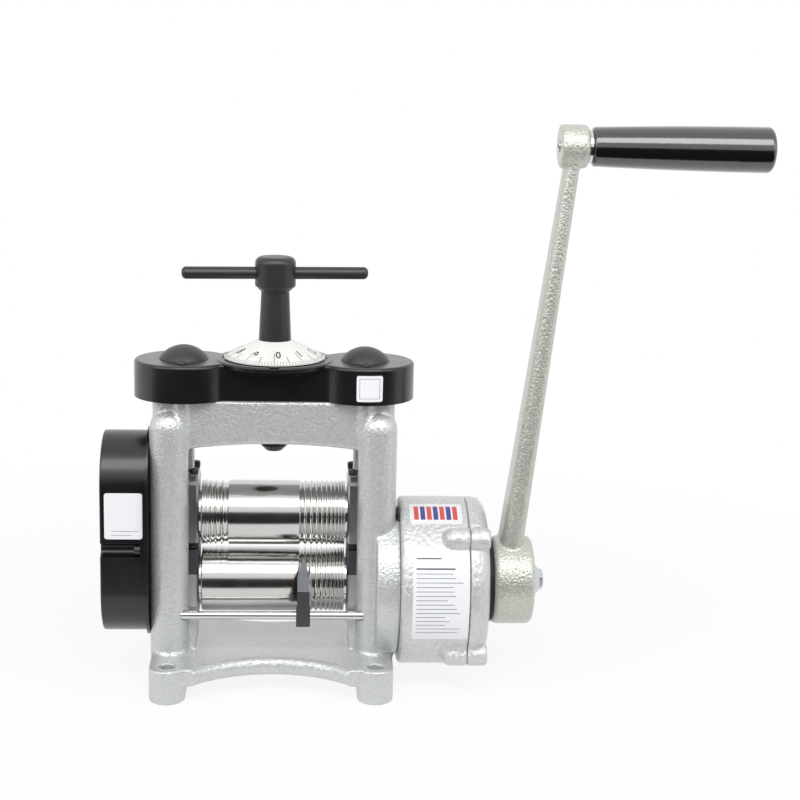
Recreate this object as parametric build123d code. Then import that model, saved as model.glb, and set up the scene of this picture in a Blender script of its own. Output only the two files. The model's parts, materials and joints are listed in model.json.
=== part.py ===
"""Jewellers' rolling mill, hand cranked, with a geared crank and a pair of plain and grooved rolls.

Millimetres. The origin is the centre of the four bench-bolt holes, on the plane that the feet
stand on. +Z is up, the rolls lie along X, the crank is at +X and the operator stands at -Y.
"""
import math
import os

from build123d import *

# ---------------------------------------------------------------- fits and clearances
RUNNING = 0.05          # radial clearance of a shaft in its bush
SLIDING = 0.10          # play of a block in its slide, each side
END_PLAY = 0.30         # axial play between faces that turn against each other
BACKLASH = 0.12         # taken off each flank of a fine gear tooth
DEDENDUM = 1.25         # of a common tooth, in modules
PAST = 1.0              # how far a cutter runs past the face that it opens
SOCKET_SHARE = 0.6      # depth of a hexagon socket as a share of its screw's head

# ---------------------------------------------------------------- rolls
ROLL_LENGTH = 110.0
ROLL_RADIUS = 25.0
LOWER_AXIS_Z = 78.2
ROLL_GAP = 3.8          # between the plain faces, as the mill stands
GAP_CLOSED = 0.1        # smallest gap that the pressure screws reach
GAP_OPEN = 5.5          # largest gap that the roll gears still mesh at
EDGE_CHAMFER = 0.8
VEE_START_X = 20.0      # square-wire grooves, from here to the right end of both rolls
VEE_COUNT = 10
VEE_FIRST_PITCH = 5.0
VEE_LAST_PITCH = 1.9
VEE_LAND = 0.12         # share of each pitch left as a flat land
ROUND_WIDTHS = (1.7, 2.6, 3.2, 4.1, 5.0)    # half-round grooves of the upper roll, from the left
ROUND_LAND = 0.7
ROUND_DEPTH_SHARE = 0.42
SHOULDER_RADIUS = 20.0
SHOULDER_LENGTH = 2.0       # from a roll's end to the bearing block beside it
JOURNAL_RADIUS = 15.0
ROLL_GEAR_SEAT_RADIUS = 12.0

# ---------------------------------------------------------------- bearing blocks
BLOCK_NOSE = 7.25           # the blocks stand this far out of the housings, towards the rolls
BLOCK_SETBACK = 1.0         # and end this far inside the housings' outer faces
BLOCK_EDGE = 1.5
LOWER_BLOCK_BELOW = 23.2    # from the lower roll's axis to the foot of its block
LOWER_BLOCK_ABOVE = 9.3
KEEPER_GAP = 0.5            # between a lower block and the keeper that covers its bush
KEEPER_CLEARANCE = 2.3      # left between keeper and upper block at the closed gap
UPPER_BLOCK_BELOW = 19.0
UPPER_BLOCK_ABOVE = 27.0
BUSH_WALL = 3.0

# ---------------------------------------------------------------- frame casting
HOUSING_WIDTH = 29.5
HOUSING_DEPTH = 74.0
WINDOW_HALF_DEPTH = 21.5
WINDOW_HEADROOM = 16.8      # above the clips at the widest gap
TOP_ABOVE_WINDOW = 40.7
TOP_END_SETBACK = 2.25      # the top block ends this far inside the housings' outer faces
TOP_HALF_DEPTH = 27.0
TOP_CORNER = 9.0
HOUSING_ROUND_DROP = 21.7   # where the columns start to round over, below the top face
ARCH_MID_DROP = 32.9
ARCH_END_DROP = 37.1
ARCH_EDGE = 3.0
BASE_TOP_Z = 27.0
BASE_BOTTOM_Z = 13.0
BASE_END_SETBACK = 1.25
SCALLOP_RADIUS = 80.5
SCALLOP_FRONT_Y = 43.0      # how far the plate reaches in the middle, in front and behind
SCALLOP_REAR_Y = 50.0
HORN_Y = 66.0               # the plate's horns beside the feet reach this far forward
BASE_RIM = 6.0
FOOT_INSET = 0.3            # from a housing's middle in to its feet
FOOT_Y = 57.0
FOOT_RADIUS = 13.85
FOOT_INNER_Y = 38.0
FOOT_BOTTOM_EDGE = 2.0
FOOT_TOP_EDGE = 1.6
BOLT_HOLE_RADIUS = 6.0
COLUMN_FILLET = 5.0
PAD_LEAN = 3.5              # pads under the lower blocks lean back by this much at their foot
PAD_HALF_DEPTH = 23.0
GEARBOX_FACE_PROUD = 3.25   # round face that the gearbox bolts to, beyond the right housing
GEARBOX_FACE_RADIUS = 58.0

# ---------------------------------------------------------------- lift springs
SPRING_INSET = 5.6          # from a block's nose to its two springs
SPRING_Y = 13.5
SPRING_COIL_RADIUS = 3.2
SPRING_WIRE_RADIUS = 0.6
SPRING_TURNS = 6
SPRING_POCKET_PLAY = 0.4
KEEPER_POCKET_DEPTH = 12.0
BLOCK_POCKET_DEPTH = 3.0

# ---------------------------------------------------------------- pressure screws and their gears
SCREW_RADIUS = 8.0
SCREW_FOOT_RADIUS = 7.0
SCREW_NECK_RADIUS = 5.0
SCREW_FOOT_HEIGHT = 4.0
SCREW_TOP_RADIUS = 6.5
SCREW_CHAMFER = 1.0
SCREW_PASSAGE = 0.5         # radial room round a screw where it passes the casting
SCREW_TOP_ABOVE_GEAR = 3.5
FINE_MODULE = 1.5
FINE_TEETH = 23             # pinion, idlers and screw gears are all alike
SCREW_GEAR_ABOVE_TOP = 5.8
SCREW_GEAR_THICKNESS = 8.0
IDLER_ABOVE_TOP = 1.6
IDLER_THICKNESS = 14.4
IDLER_PIN_RADIUS = 4.0
IDLER_PIN_DEPTH = 18.0
PIN_COLLAR = 2.5
PIN_HEAD = 2.0
PIN_HEAD_HEIGHT = 1.8
NUT_WALL = 4.0
NUT_ABOVE_WINDOW = 6.0
NUT_HEIGHT = 24.0
CLIP_THICKNESS = 6.5
CLIP_HALF_DEPTH = 17.0
CLIP_INSET = 0.4
CLIP_BEYOND_SCREW = 15.0
CLIP_CORNER = 2.8
CLIP_SCREW_INSET = 3.6
CLIP_SCREW_Y = 12.8
CLIP_SCREW_RADIUS = 2.0
CLIP_SCREW_DEPTH = 10.0
CLIP_SCREW_HEAD = 1.4

# ---------------------------------------------------------------- thickness control
SPINDLE_RADIUS = 8.0
SPINDLE_THREAD_RADIUS = 6.0
SPINDLE_BUSH_WALL = 3.0
SPINDLE_BUSH_FLANGE = 3.0
SPINDLE_BUSH_FLANGE_HEIGHT = 1.3
SPINDLE_NUT_RADIUS = 10.2
SPINDLE_NUT_HEIGHT = 9.4
SPINDLE_NUT_TAPER = 4.0
SPINDLE_NUT_NOSE_RADIUS = 6.3
SPINDLE_NUT_END_WALL = 2.5
DIAL_RADIUS = 38.5
DIAL_RIM_ABOVE_COVER = 0.5
DIAL_RIM_HEIGHT = 1.2
DIAL_RIM_LEDGE = 3.0
DIAL_HEIGHT = 13.7
DIAL_WALL = 5.0
DIAL_TOP_RADIUS = 12.9
DIAL_HUB_RADIUS = 12.0
DIAL_HUB_ROOM = 1.0         # radial, round the hub where it passes the cover
T_SHAFT_FOOT_RADIUS = 12.3
T_SHAFT_WAIST_RADIUS = 10.65
T_SHAFT_LENGTH = 37.0
T_HEAD_RADIUS = 15.4
T_HEAD_FLARE = 4.5
T_HEAD_HEIGHT = 22.0
T_HEAD_ROUND = 5.0
TOMMY_ABOVE_FLARE = 9.5
TOMMY_RADIUS = 4.7
TOMMY_LENGTH = 141.0
TOMMY_ROUND = 3.5
TOMMY_TURN = 5.0            # degrees, the left end nearer the operator

# ---------------------------------------------------------------- top cover
COVER_HEIGHT = 28.1
COVER_LOBE_RADIUS = 37.5
COVER_WEB_HALF_DEPTH = 24.0
COVER_CORNER = 8.0
COVER_WALL = 3.2
COVER_EDGE = 2.4
RIM_PROUD = 1.0             # of the cover's top
RIM_LIP = 3.6
RIM_WIDTH = 5.0
RIM_EDGE = 1.0
RIM_PLAY = 1.5              # between the dial and the rim round it
BOWL_DEPTH = 10.3
BOWL_FOOT_RADIUS = 26.0
RECESS_DEPTH = 2.0
DOME_RADIUS = 19.0
DOME_HEIGHT = 10.5
DOME_WALL = 2.0
DOME_SPIGOT_RADIUS = 15.0
DOME_SPIGOT_OVERLAP = 3.0
COVER_SCREW_Y = 25.0
COVER_SCREW_RADIUS = 2.0
COVER_SCREW_DEPTH = 14.0
COVER_SCREW_HEAD = 1.8
COVER_SCREW_HEAD_HEIGHT = 2.2
COVER_BOSS_RADIUS = 4.8
FRAME_BOSS_RADIUS = 6.0
FRAME_BOSS_HEIGHT = 26.0

# ---------------------------------------------------------------- roll gears and their guard
ROLL_GEAR_TEETH = 12        # pitch circle as large as the roll
ROLL_GEAR_PRESSURE_ANGLE = 25.0
ROLL_GEAR_DEDENDUM = 1.2
ROLL_GEAR_THIN = 0.30
ROLL_GEAR_WIDTH = 18.0
GUARD_GAP_X = 3.5           # from the backplate to the roll gears
CIRCLIP_WIDTH = 1.75
CIRCLIP_WALL = 2.5
SHAFT_TAIL = 2.0            # shaft left beyond a circlip
BACKPLATE_THICKNESS = 2.5
BACKPLATE_BORDER = 3.2
BACKPLATE_SCREW_Y = 10.0    # two screws below the housing's window and one above it
BACKPLATE_SCREW_BELOW = 7.5
BACKPLATE_SCREW_ABOVE = 4.6
BACKPLATE_SCREW_RADIUS = 2.0
BACKPLATE_SCREW_DEPTH = 12.0
BACKPLATE_SCREW_HEAD = 1.4
GUARD_ABOVE_ROLLS = 11.9    # its middle, above the middle of the two rolls
GUARD_HALF_HEIGHT = 78.8
GUARD_RADIUS = 38.5
GUARD_LENGTH = 33.75
GUARD_WALL = 3.0
GUARD_EDGE = 1.5
GUARD_SLOT_ABOVE_MIDDLE = -5.4
GUARD_SLOT_WIDTH = 11.0
GUARD_SLOT_DEPTH = 8.0
GUARD_SLOT_WALL = 1.4
GUARD_SCREW_RADIUS = 2.0
GUARD_SCREW_HEAD = 1.5
GUARD_SCREW_HEAD_HEIGHT = 4.4
GUARD_SCREW_FLOOR = 3.5

# ---------------------------------------------------------------- wire guide
ROD_RADIUS = 3.2
ROD_CLEAR_OF_ROLL = 5.0     # along Y, from the roll's front to the rod's axis
ROD_BELOW_AXIS = 20.2
ROD_SOCKET_DEPTH = 9.75     # of the holes in the housings that hold the rod
GUIDE_X = 23.6
GUIDE_WIDTH = 10.7
GUIDE_WAIST_INSET = 0.7
GUIDE_TIP_WIDTH = 1.2
GUIDE_TIP_THICKNESS = 1.4
GUIDE_TIP_BACK = 8.0        # the tip leans this far behind the rod, towards the rolls
GUIDE_THICKNESS = 3.6
GUIDE_FRONT_WALL = 2.2
GUIDE_BACK_WALL = 1.2
GUIDE_BELOW_ROD = 7.5
GUIDE_COLLAR_ABOVE_ROD = 6.0
GUIDE_WAIST_ABOVE_ROD = 9.0
GUIDE_SHOULDER_ABOVE_ROD = 29.5
GUIDE_TIP_ABOVE_ROD = 43.5

# ---------------------------------------------------------------- gearbox
COARSE_MODULE = 2.0
SUN_TEETH = 18
PLANET_TEETH = 18
PLANET_COUNT = 3
PLANET_FIRST_ANGLE = 90.0
PLANET_WIDTH = 18.0
PLANET_PIN_RADIUS = 6.0
PLANET_PIN_HEAD = 2.0
PLANET_PIN_HEAD_HEIGHT = 1.5
PLANET_GAP = 1.0            # from the carrier's face to the planets
RING_RIM = 3.5              # of the ring gear, outside its tooth spaces
RING_OVERHANG = 0.5
CARRIER_MARGIN = 10.0       # of the carrier, outside the planet pins' circle
CARRIER_THICKNESS = 7.5
CARRIER_GAP = 1.5
OUTPUT_SHAFT_RADIUS = 12.5
INPUT_SHAFT_RADIUS = 12.0
NOSE_RADIUS = 6.0
NOSE_LENGTH = 12.0
NOSE_CHAMFER = 1.0
INPUT_BUSH_WALL = 4.0
INPUT_BOSS_WALL = 7.0
INPUT_BOSS_LENGTH = 14.0
SEAL_RADIUS = 33.0
SEAL_WIDTH = 5.0
GEARBOX_WALL = 5.4
GEARBOX_BACK_WALL = 9.0
GEARBOX_LENGTH = 52.2
GEARBOX_EDGE = 3.0
GEARBOX_COVER_LENGTH = 15.8
GEARBOX_COVER_EDGE = 12.0
GEARBOX_COVER_WALL = 5.5
GEARBOX_COVER_LIP = 7.4     # wall of the cover where it meets the housing
EAR_RADIUS = 8.5
EAR_SINK = 0.4              # the ears' circle lies this far inside the housing's outer face
EAR_LENGTH = 20.7
EAR_EDGE = 3.0
EAR_COUNT = 4
EAR_FIRST_ANGLE = 45.0
EAR_SCREW_RADIUS = 3.0
EAR_SCREW_DEPTH = 14.0
EAR_SCREW_HEAD = 2.1
EAR_SCREW_HEAD_HEIGHT = 4.6
EAR_SCREW_SINK = 5.0
EAR_SCREW_ROOM = 0.3        # radial, round a sunk head
FLANGE_SCREW_COUNT = 4
FLANGE_SCREW_FIRST_ANGLE = 45.0
FLANGE_SCREW_MARGIN = 8.0   # from the round face's edge in to the screws' circle
FLANGE_SCREW_RADIUS = 4.0
FLANGE_SCREW_DEPTH = 15.0
FLANGE_SCREW_HEAD = 2.5
FLANGE_SCREW_HEAD_HEIGHT = 5.0

# ---------------------------------------------------------------- crank and handle
CRANK_GAP = 0.5             # from the seal to the crank's hub
CRANK_HUB_LENGTH = 32.2
CRANK_HUB_RADIUS = 34.6
CRANK_HUB_EDGE = 4.5
CRANK_THROW = 339.8
ARM_FOOT_IN = 11.5          # from the hub's face to the middle of the arm's foot
ARM_FOOT_THICKNESS = 18.4
ARM_FOOT_WIDTH = 38.0
ARM_HEAD_IN = 11.6           # from the eye's face to the middle of the arm's head
ARM_HEAD_THICKNESS = 10.8
ARM_HEAD_WIDTH = 21.0
ARM_FOOT_CORNER = 8.4
ARM_HEAD_CORNER = 4.9
CRANK_EYE_OUT = 41.5        # from the hub's face to the eye's, which the arm's lean makes
CRANK_EYE_LENGTH = 22.0
CRANK_EYE_RADIUS = 16.5
CRANK_EYE_EDGE = 2.2
CRANK_EYE_END_EDGE = 4.0    # beside the grip
KEY_WIDTH = 8.0
KEY_HEIGHT = 7.0
KEY_SETBACK = 3.0
SHAFT_SETBACK = 1.0         # the shaft ends this far inside the hub, so that the washer clamps it
WASHER_RADIUS = 15.0
WASHER_THICKNESS = 6.2
WASHER_RIM = 0.6
WASHER_TOP_RADIUS = 9.5
CRANK_BOLT_RADIUS = 5.0
CRANK_BOLT_ACROSS = 15.0
CRANK_BOLT_HEAD_HEIGHT = 3.4
CRANK_BOLT_CHAMFER = 1.0
CRANK_BOLT_DEPTH = 25.0
HANDLE_SPINDLE_RADIUS = 6.0
HANDLE_THREAD_LENGTH = 14.0
COLLAR_RADIUS = 12.5
COLLAR_LENGTH = 2.2
GRIP_LENGTH = 138.0
GRIP_START_RADIUS = 14.8
GRIP_MIDDLE_RADIUS = 16.75
GRIP_END_RADIUS = 17.4
GRIP_EDGE = 2.5
GRIP_END_EDGE = 4.0
GRIP_CAP_LENGTH = 3.0
GRIP_CAP_RADIUS = 11.0
GRIP_POCKET_DEPTH = 12.0
SPINDLE_HEAD_RADIUS = 9.0
SPINDLE_HEAD_HEIGHT = 6.0
EYE_SCREW_RADIUS = 4.0
EYE_SCREW_PROUD = 0.8
EYE_SCREW_SOCKET = 3.8

# ---------------------------------------------------------------- places worked out along X
SIDES = (("left", -1), ("right", 1))
ROLL_HALF = ROLL_LENGTH / 2
BLOCK_IN_X = ROLL_HALF + SHOULDER_LENGTH
HOUSING_IN_X = BLOCK_IN_X + BLOCK_NOSE
HOUSING_OUT_X = HOUSING_IN_X + HOUSING_WIDTH
HOUSING_CENTRE_X = (HOUSING_IN_X + HOUSING_OUT_X) / 2
COLUMN_RADIUS = HOUSING_WIDTH / 2
BLOCK_OUT_X = HOUSING_OUT_X - BLOCK_SETBACK
TOP_HALF_LENGTH = HOUSING_OUT_X - TOP_END_SETBACK
BASE_HALF_LENGTH = HOUSING_OUT_X - BASE_END_SETBACK
FOOT_X = HOUSING_CENTRE_X - FOOT_INSET
SPRING_X = BLOCK_IN_X + SPRING_INSET
CLIP_SCREW_X = BLOCK_IN_X + CLIP_SCREW_INSET
IDLER_X = FINE_MODULE * FINE_TEETH
SCREW_X = 2 * IDLER_X
ROD_HALF_LENGTH = HOUSING_IN_X + ROD_SOCKET_DEPTH
GUARD_SEAT_X = -(HOUSING_OUT_X + BACKPLATE_THICKNESS)
GUARD_END_X = GUARD_SEAT_X - GUARD_LENGTH
ROLL_GEAR_X = GUARD_SEAT_X - GUARD_GAP_X
ROLL_GEAR_END_X = ROLL_GEAR_X - ROLL_GEAR_WIDTH
ROLL_TAIL_X = ROLL_GEAR_END_X - CIRCLIP_WIDTH - SHAFT_TAIL
GEARBOX_FACE_X = HOUSING_OUT_X + GEARBOX_FACE_PROUD
GEARBOX_BACK_X = GEARBOX_FACE_X + GEARBOX_BACK_WALL
CARRIER_X = GEARBOX_BACK_X + CARRIER_GAP
CARRIER_END_X = CARRIER_X + CARRIER_THICKNESS
OUTPUT_END_X = CARRIER_END_X + END_PLAY
PLANET_X = CARRIER_END_X + PLANET_GAP
PLANET_END_X = PLANET_X + PLANET_WIDTH
GEARBOX_SEAM_X = GEARBOX_FACE_X + GEARBOX_LENGTH
GEARBOX_END_X = GEARBOX_SEAM_X + GEARBOX_COVER_LENGTH
INPUT_BOSS_X = GEARBOX_END_X - GEARBOX_COVER_WALL - INPUT_BOSS_LENGTH
CRANK_HUB_X = GEARBOX_END_X + SEAL_WIDTH + CRANK_GAP
CRANK_HUB_END_X = CRANK_HUB_X + CRANK_HUB_LENGTH
SHAFT_END_X = CRANK_HUB_END_X - SHAFT_SETBACK
CRANK_EYE_X = CRANK_HUB_X + CRANK_EYE_OUT
CRANK_EYE_END_X = CRANK_EYE_X + CRANK_EYE_LENGTH
HANDLE_THREAD_X = CRANK_EYE_END_X - HANDLE_THREAD_LENGTH
GRIP_X = CRANK_EYE_END_X + COLLAR_LENGTH + END_PLAY
GRIP_END_X = GRIP_X + GRIP_LENGTH

# ---------------------------------------------------------------- places worked out along Y
COLUMN_Y = HOUSING_DEPTH / 2 - COLUMN_RADIUS
BLOCK_HALF_DEPTH = WINDOW_HALF_DEPTH - SLIDING
ROD_Y = -(ROLL_RADIUS + ROD_CLEAR_OF_ROLL)

# ---------------------------------------------------------------- places worked out along Z
UPPER_AXIS_Z = LOWER_AXIS_Z + 2 * ROLL_RADIUS + ROLL_GAP
LIFT_DOWN = ROLL_GAP - GAP_CLOSED
LIFT_UP = GAP_OPEN - ROLL_GAP
WINDOW_BOTTOM_Z = LOWER_AXIS_Z - LOWER_BLOCK_BELOW
LOWER_BLOCK_TOP_Z = LOWER_AXIS_Z + LOWER_BLOCK_ABOVE
UPPER_BLOCK_BOTTOM_Z = UPPER_AXIS_Z - UPPER_BLOCK_BELOW
UPPER_BLOCK_TOP_Z = UPPER_AXIS_Z + UPPER_BLOCK_ABOVE
KEEPER_TOP_Z = UPPER_BLOCK_BOTTOM_Z - LIFT_DOWN - KEEPER_CLEARANCE
CLIP_TOP_Z = UPPER_BLOCK_TOP_Z + CLIP_THICKNESS
WINDOW_TOP_Z = CLIP_TOP_Z + LIFT_UP + WINDOW_HEADROOM
NUT_BOTTOM_Z = WINDOW_TOP_Z + NUT_ABOVE_WINDOW
NUT_TOP_Z = NUT_BOTTOM_Z + NUT_HEIGHT
TOP_Z = WINDOW_TOP_Z + TOP_ABOVE_WINDOW
HOUSING_ROUND_Z = TOP_Z - HOUSING_ROUND_DROP
ARCH_MID_Z = TOP_Z - ARCH_MID_DROP
ARCH_END_Z = TOP_Z - ARCH_END_DROP
SCREW_GEAR_BOTTOM_Z = TOP_Z + SCREW_GEAR_ABOVE_TOP
IDLER_BOTTOM_Z = TOP_Z + IDLER_ABOVE_TOP
IDLER_TOP_Z = IDLER_BOTTOM_Z + IDLER_THICKNESS
COVER_TOP_Z = TOP_Z + COVER_HEIGHT
COVER_ROOF_Z = COVER_TOP_Z - COVER_WALL
RIM_TOP_Z = COVER_TOP_Z + RIM_PROUD
BOWL_BOTTOM_Z = RIM_TOP_Z - BOWL_DEPTH
DIAL_RIM_Z = RIM_TOP_Z + DIAL_RIM_ABOVE_COVER
DIAL_TOP_Z = DIAL_RIM_Z + DIAL_HEIGHT
T_SHAFT_WAIST_Z = DIAL_TOP_Z + T_SHAFT_LENGTH
T_HEAD_BOTTOM_Z = T_SHAFT_WAIST_Z + T_HEAD_FLARE
T_HEAD_TOP_Z = T_HEAD_BOTTOM_Z + T_HEAD_HEIGHT
TOMMY_Z = T_HEAD_BOTTOM_Z + TOMMY_ABOVE_FLARE
GUARD_CENTRE_Z = (LOWER_AXIS_Z + UPPER_AXIS_Z) / 2 + GUARD_ABOVE_ROLLS
GUARD_SLOT_Z = GUARD_CENTRE_Z + GUARD_SLOT_ABOVE_MIDDLE
ROD_Z = LOWER_AXIS_Z - ROD_BELOW_AXIS
CRANK_EYE_Z = LOWER_AXIS_Z + CRANK_THROW

# ---------------------------------------------------------------- radii worked out
BUSH_RADIUS = JOURNAL_RADIUS + BUSH_WALL
SPRING_POCKET_RADIUS = SPRING_COIL_RADIUS + SPRING_WIRE_RADIUS + SPRING_POCKET_PLAY
NUT_RADIUS = SCREW_RADIUS + NUT_WALL
SPINDLE_BUSH_RADIUS = SPINDLE_RADIUS + SPINDLE_BUSH_WALL
RIM_RADIUS = DIAL_RADIUS + RIM_PLAY + RIM_WIDTH
ROLL_GEAR_MODULE = 2 * ROLL_RADIUS / ROLL_GEAR_TEETH
RING_TEETH = SUN_TEETH + 2 * PLANET_TEETH
PLANET_CIRCLE = COARSE_MODULE * (SUN_TEETH + PLANET_TEETH) / 2
CARRIER_RADIUS = PLANET_CIRCLE + CARRIER_MARGIN
GEARBOX_INNER_RADIUS = COARSE_MODULE * (RING_TEETH / 2 + DEDENDUM) + RING_RIM
GEARBOX_RADIUS = GEARBOX_INNER_RADIUS + GEARBOX_WALL
EAR_CIRCLE_RADIUS = GEARBOX_RADIUS - EAR_SINK
FLANGE_SCREW_CIRCLE = GEARBOX_FACE_RADIUS - FLANGE_SCREW_MARGIN
INPUT_BUSH_RADIUS = INPUT_SHAFT_RADIUS + INPUT_BUSH_WALL


# ---------------------------------------------------------------- small makers
def rod_x(radius, x0, x1, y=0.0, z=0.0):
    """Cylinder along X between x0 and x1."""
    return Pos((x0 + x1) / 2, y, z) * Rot(0, 90, 0) * Cylinder(radius, abs(x1 - x0))


def rod_y(radius, y0, y1, x=0.0, z=0.0):
    """Cylinder along Y between y0 and y1."""
    return Pos(x, (y0 + y1) / 2, z) * Rot(90, 0, 0) * Cylinder(radius, abs(y1 - y0))


def rod_z(radius, z0, z1, x=0.0, y=0.0):
    """Upright cylinder between z0 and z1."""
    return Pos(x, y, (z0 + z1) / 2) * Cylinder(radius, abs(z1 - z0))


def block(x0, x1, y0, y1, z0, z1):
    """Box between two corners."""
    centre = Pos((x0 + x1) / 2, (y0 + y1) / 2, (z0 + z1) / 2)
    return centre * Box(abs(x1 - x0), abs(y1 - y0), abs(z1 - z0))


def tube_x(outer, inner, x0, x1, y=0.0, z=0.0):
    """Plain bush or ring along X."""
    low, high = sorted((x0, x1))
    return rod_x(outer, low, high, y, z) - rod_x(inner, low - PAST, high + PAST, y, z)


def tube_z(outer, inner, z0, z1, x=0.0, y=0.0):
    """Plain upright bush or ring."""
    return rod_z(outer, z0, z1, x, y) - rod_z(inner, z0 - PAST, z1 + PAST, x, y)


def turned_x(outline, z=0.0):
    """Turn an outline of (x, radius) points about the X axis, then lift it to z."""
    face = make_face(Polyline(*[(x, 0, r) for x, r in outline], close=True))
    return Pos(0, 0, z) * revolve(face, Axis.X, 360)


def turned_z(outline, x=0.0):
    """Turn an outline of (radius, z) points about the Z axis, then move it to x."""
    face = make_face(Polyline(*[(r, 0, z) for r, z in outline], close=True))
    return Pos(x, 0, 0) * revolve(face, Axis.Z, 360)


def hexagon_z(across, z0, z1, x=0.0, y=0.0):
    """Upright hexagonal bar, across its flats."""
    return Pos(x, y, z0) * extrude(RegularPolygon(across / 2, 6, major_radius=False), z1 - z0)


def hexagon_x(across, x0, x1, y=0.0, z=0.0):
    """Hexagonal bar along X, across its flats."""
    bar = extrude(RegularPolygon(across / 2, 6, major_radius=False), x1 - x0)
    return Pos(x0, y, z) * Rot(0, 90, 0) * bar


def cap_screw_z(radius, z_seat, depth, x, y, head, head_height):
    """Socket cap screw that points down, its head on z_seat and wider than its shank by `head`."""
    head_radius = radius + head
    body = rod_z(radius, z_seat - depth, z_seat, x, y)
    body += rod_z(head_radius, z_seat, z_seat + head_height, x, y)
    socket_z = z_seat + head_height * (1 - SOCKET_SHARE)
    return body - hexagon_z(head_radius, socket_z, z_seat + head_height + PAST, x, y)


def cap_screw_x(radius, x_seat, depth, y, z, head, head_height, way=1):
    """Socket cap screw along X; way is the side that its head looks to."""
    head_radius = radius + head
    body = rod_x(radius, x_seat - way * depth, x_seat, y, z)
    body += rod_x(head_radius, x_seat, x_seat + way * head_height, y, z)
    socket_x = x_seat + way * head_height * (1 - SOCKET_SHARE)
    low, high = sorted((socket_x, x_seat + way * (head_height + PAST)))
    return body - hexagon_x(head_radius, low, high, y, z)


def around_x(count, radius, first_angle, centre_z):
    """Places (y, z) of an even ring about an axis along X; the angle is from the front, upwards."""
    places = []
    for index in range(count):
        angle = math.radians(first_angle + 360.0 * index / count)
        places.append((-radius * math.cos(angle), centre_z + radius * math.sin(angle)))
    return places


def gear_outline(teeth, module, addendum, dedendum, thin, pressure_angle=20.0, steps=3):
    """Points of a spur gear's edge: involute flanks, a tooth centred on +X, in order."""
    pitch_radius = module * teeth / 2
    base_radius = pitch_radius * math.cos(math.radians(pressure_angle))
    tip, root = pitch_radius + addendum, pitch_radius - dedendum
    start = max(root, base_radius)

    def involute(radius):
        angle = math.acos(min(1.0, base_radius / radius))
        return math.tan(angle) - angle

    half_pitch_angle = math.pi / (2 * teeth) - thin / pitch_radius + involute(pitch_radius)
    flank = [start + (tip - start) * step / steps for step in range(steps + 1)]
    flank = [(radius, half_pitch_angle - involute(radius)) for radius in flank]
    if root < start:
        flank.insert(0, (root, flank[0][1]))
    points = []
    for tooth in range(teeth):
        centre = 2 * math.pi * tooth / teeth
        rising = [(radius, centre - angle) for radius, angle in flank]
        falling = [(radius, centre + angle) for radius, angle in reversed(flank)]
        points += [(r * math.cos(a), r * math.sin(a)) for r, a in rising + falling]
    return points


def gear_plate(outline, thickness):
    """Flat gear of an outline, its lower face on the XY plane."""
    return extrude(make_face(Polyline(*outline, close=True)), thickness)


def gear_x(plate, x, z, turn, y=0.0):
    """Stand a flat gear up so that it turns about X, a tooth at `turn` degrees from the front."""
    return Pos(x, y, z) * Rot(0, 90, 0) * Rot(0, 0, -90 - turn) * plate


def group(pieces):
    """Separate solids that share one node."""
    return Compound(children=[solid for piece in pieces for solid in piece.solids()])


# ---------------------------------------------------------------- frame casting
def side_housing(side):
    """One end of the casting: two round columns and the wall between them, rounded over on top."""
    x = side * HOUSING_CENTRE_X
    wall = block(x - COLUMN_RADIUS, x + COLUMN_RADIUS, -COLUMN_Y, COLUMN_Y, BASE_BOTTOM_Z, HOUSING_ROUND_Z)
    wall += rod_y(COLUMN_RADIUS, -COLUMN_Y, COLUMN_Y, x, HOUSING_ROUND_Z)
    for y in (-COLUMN_Y, COLUMN_Y):
        wall += rod_z(COLUMN_RADIUS, BASE_BOTTOM_Z, HOUSING_ROUND_Z, x, y)
        wall += Pos(x, y, HOUSING_ROUND_Z) * Sphere(COLUMN_RADIUS)
    return wall


def base_plate():
    """Flat plate between the feet, scalloped in front and behind, with rounded rims."""
    plan = Rectangle(2 * BASE_HALF_LENGTH, 2 * FOOT_Y) + Rectangle(2 * FOOT_X, 2 * HORN_Y)
    for way, middle_y in ((-1, SCALLOP_FRONT_Y), (1, SCALLOP_REAR_Y)):
        plan -= Pos(0, way * (middle_y + SCALLOP_RADIUS)) * Circle(SCALLOP_RADIUS)
    plate = Pos(0, 0, BASE_BOTTOM_Z) * extrude(plan, BASE_TOP_Z - BASE_BOTTOM_Z)
    rims = [edge for edge in plate.edges() if edge.geom_type == GeomType.CIRCLE]
    return fillet(rims, BASE_RIM)


def foot(side, way):
    """Bench foot: a round pad that runs back under the column."""
    length = FOOT_Y - FOOT_INNER_Y
    plan = SlotCenterToCenter(length, 2 * FOOT_RADIUS, 90)
    pad = Pos(side * FOOT_X, way * (FOOT_Y - length / 2), 0) * extrude(plan, BASE_TOP_Z)
    pad = fillet(pad.faces().sort_by(Axis.Z)[0].edges(), FOOT_BOTTOM_EDGE)
    return fillet(pad.faces().sort_by(Axis.Z)[-1].edges(), FOOT_TOP_EDGE)


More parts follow.
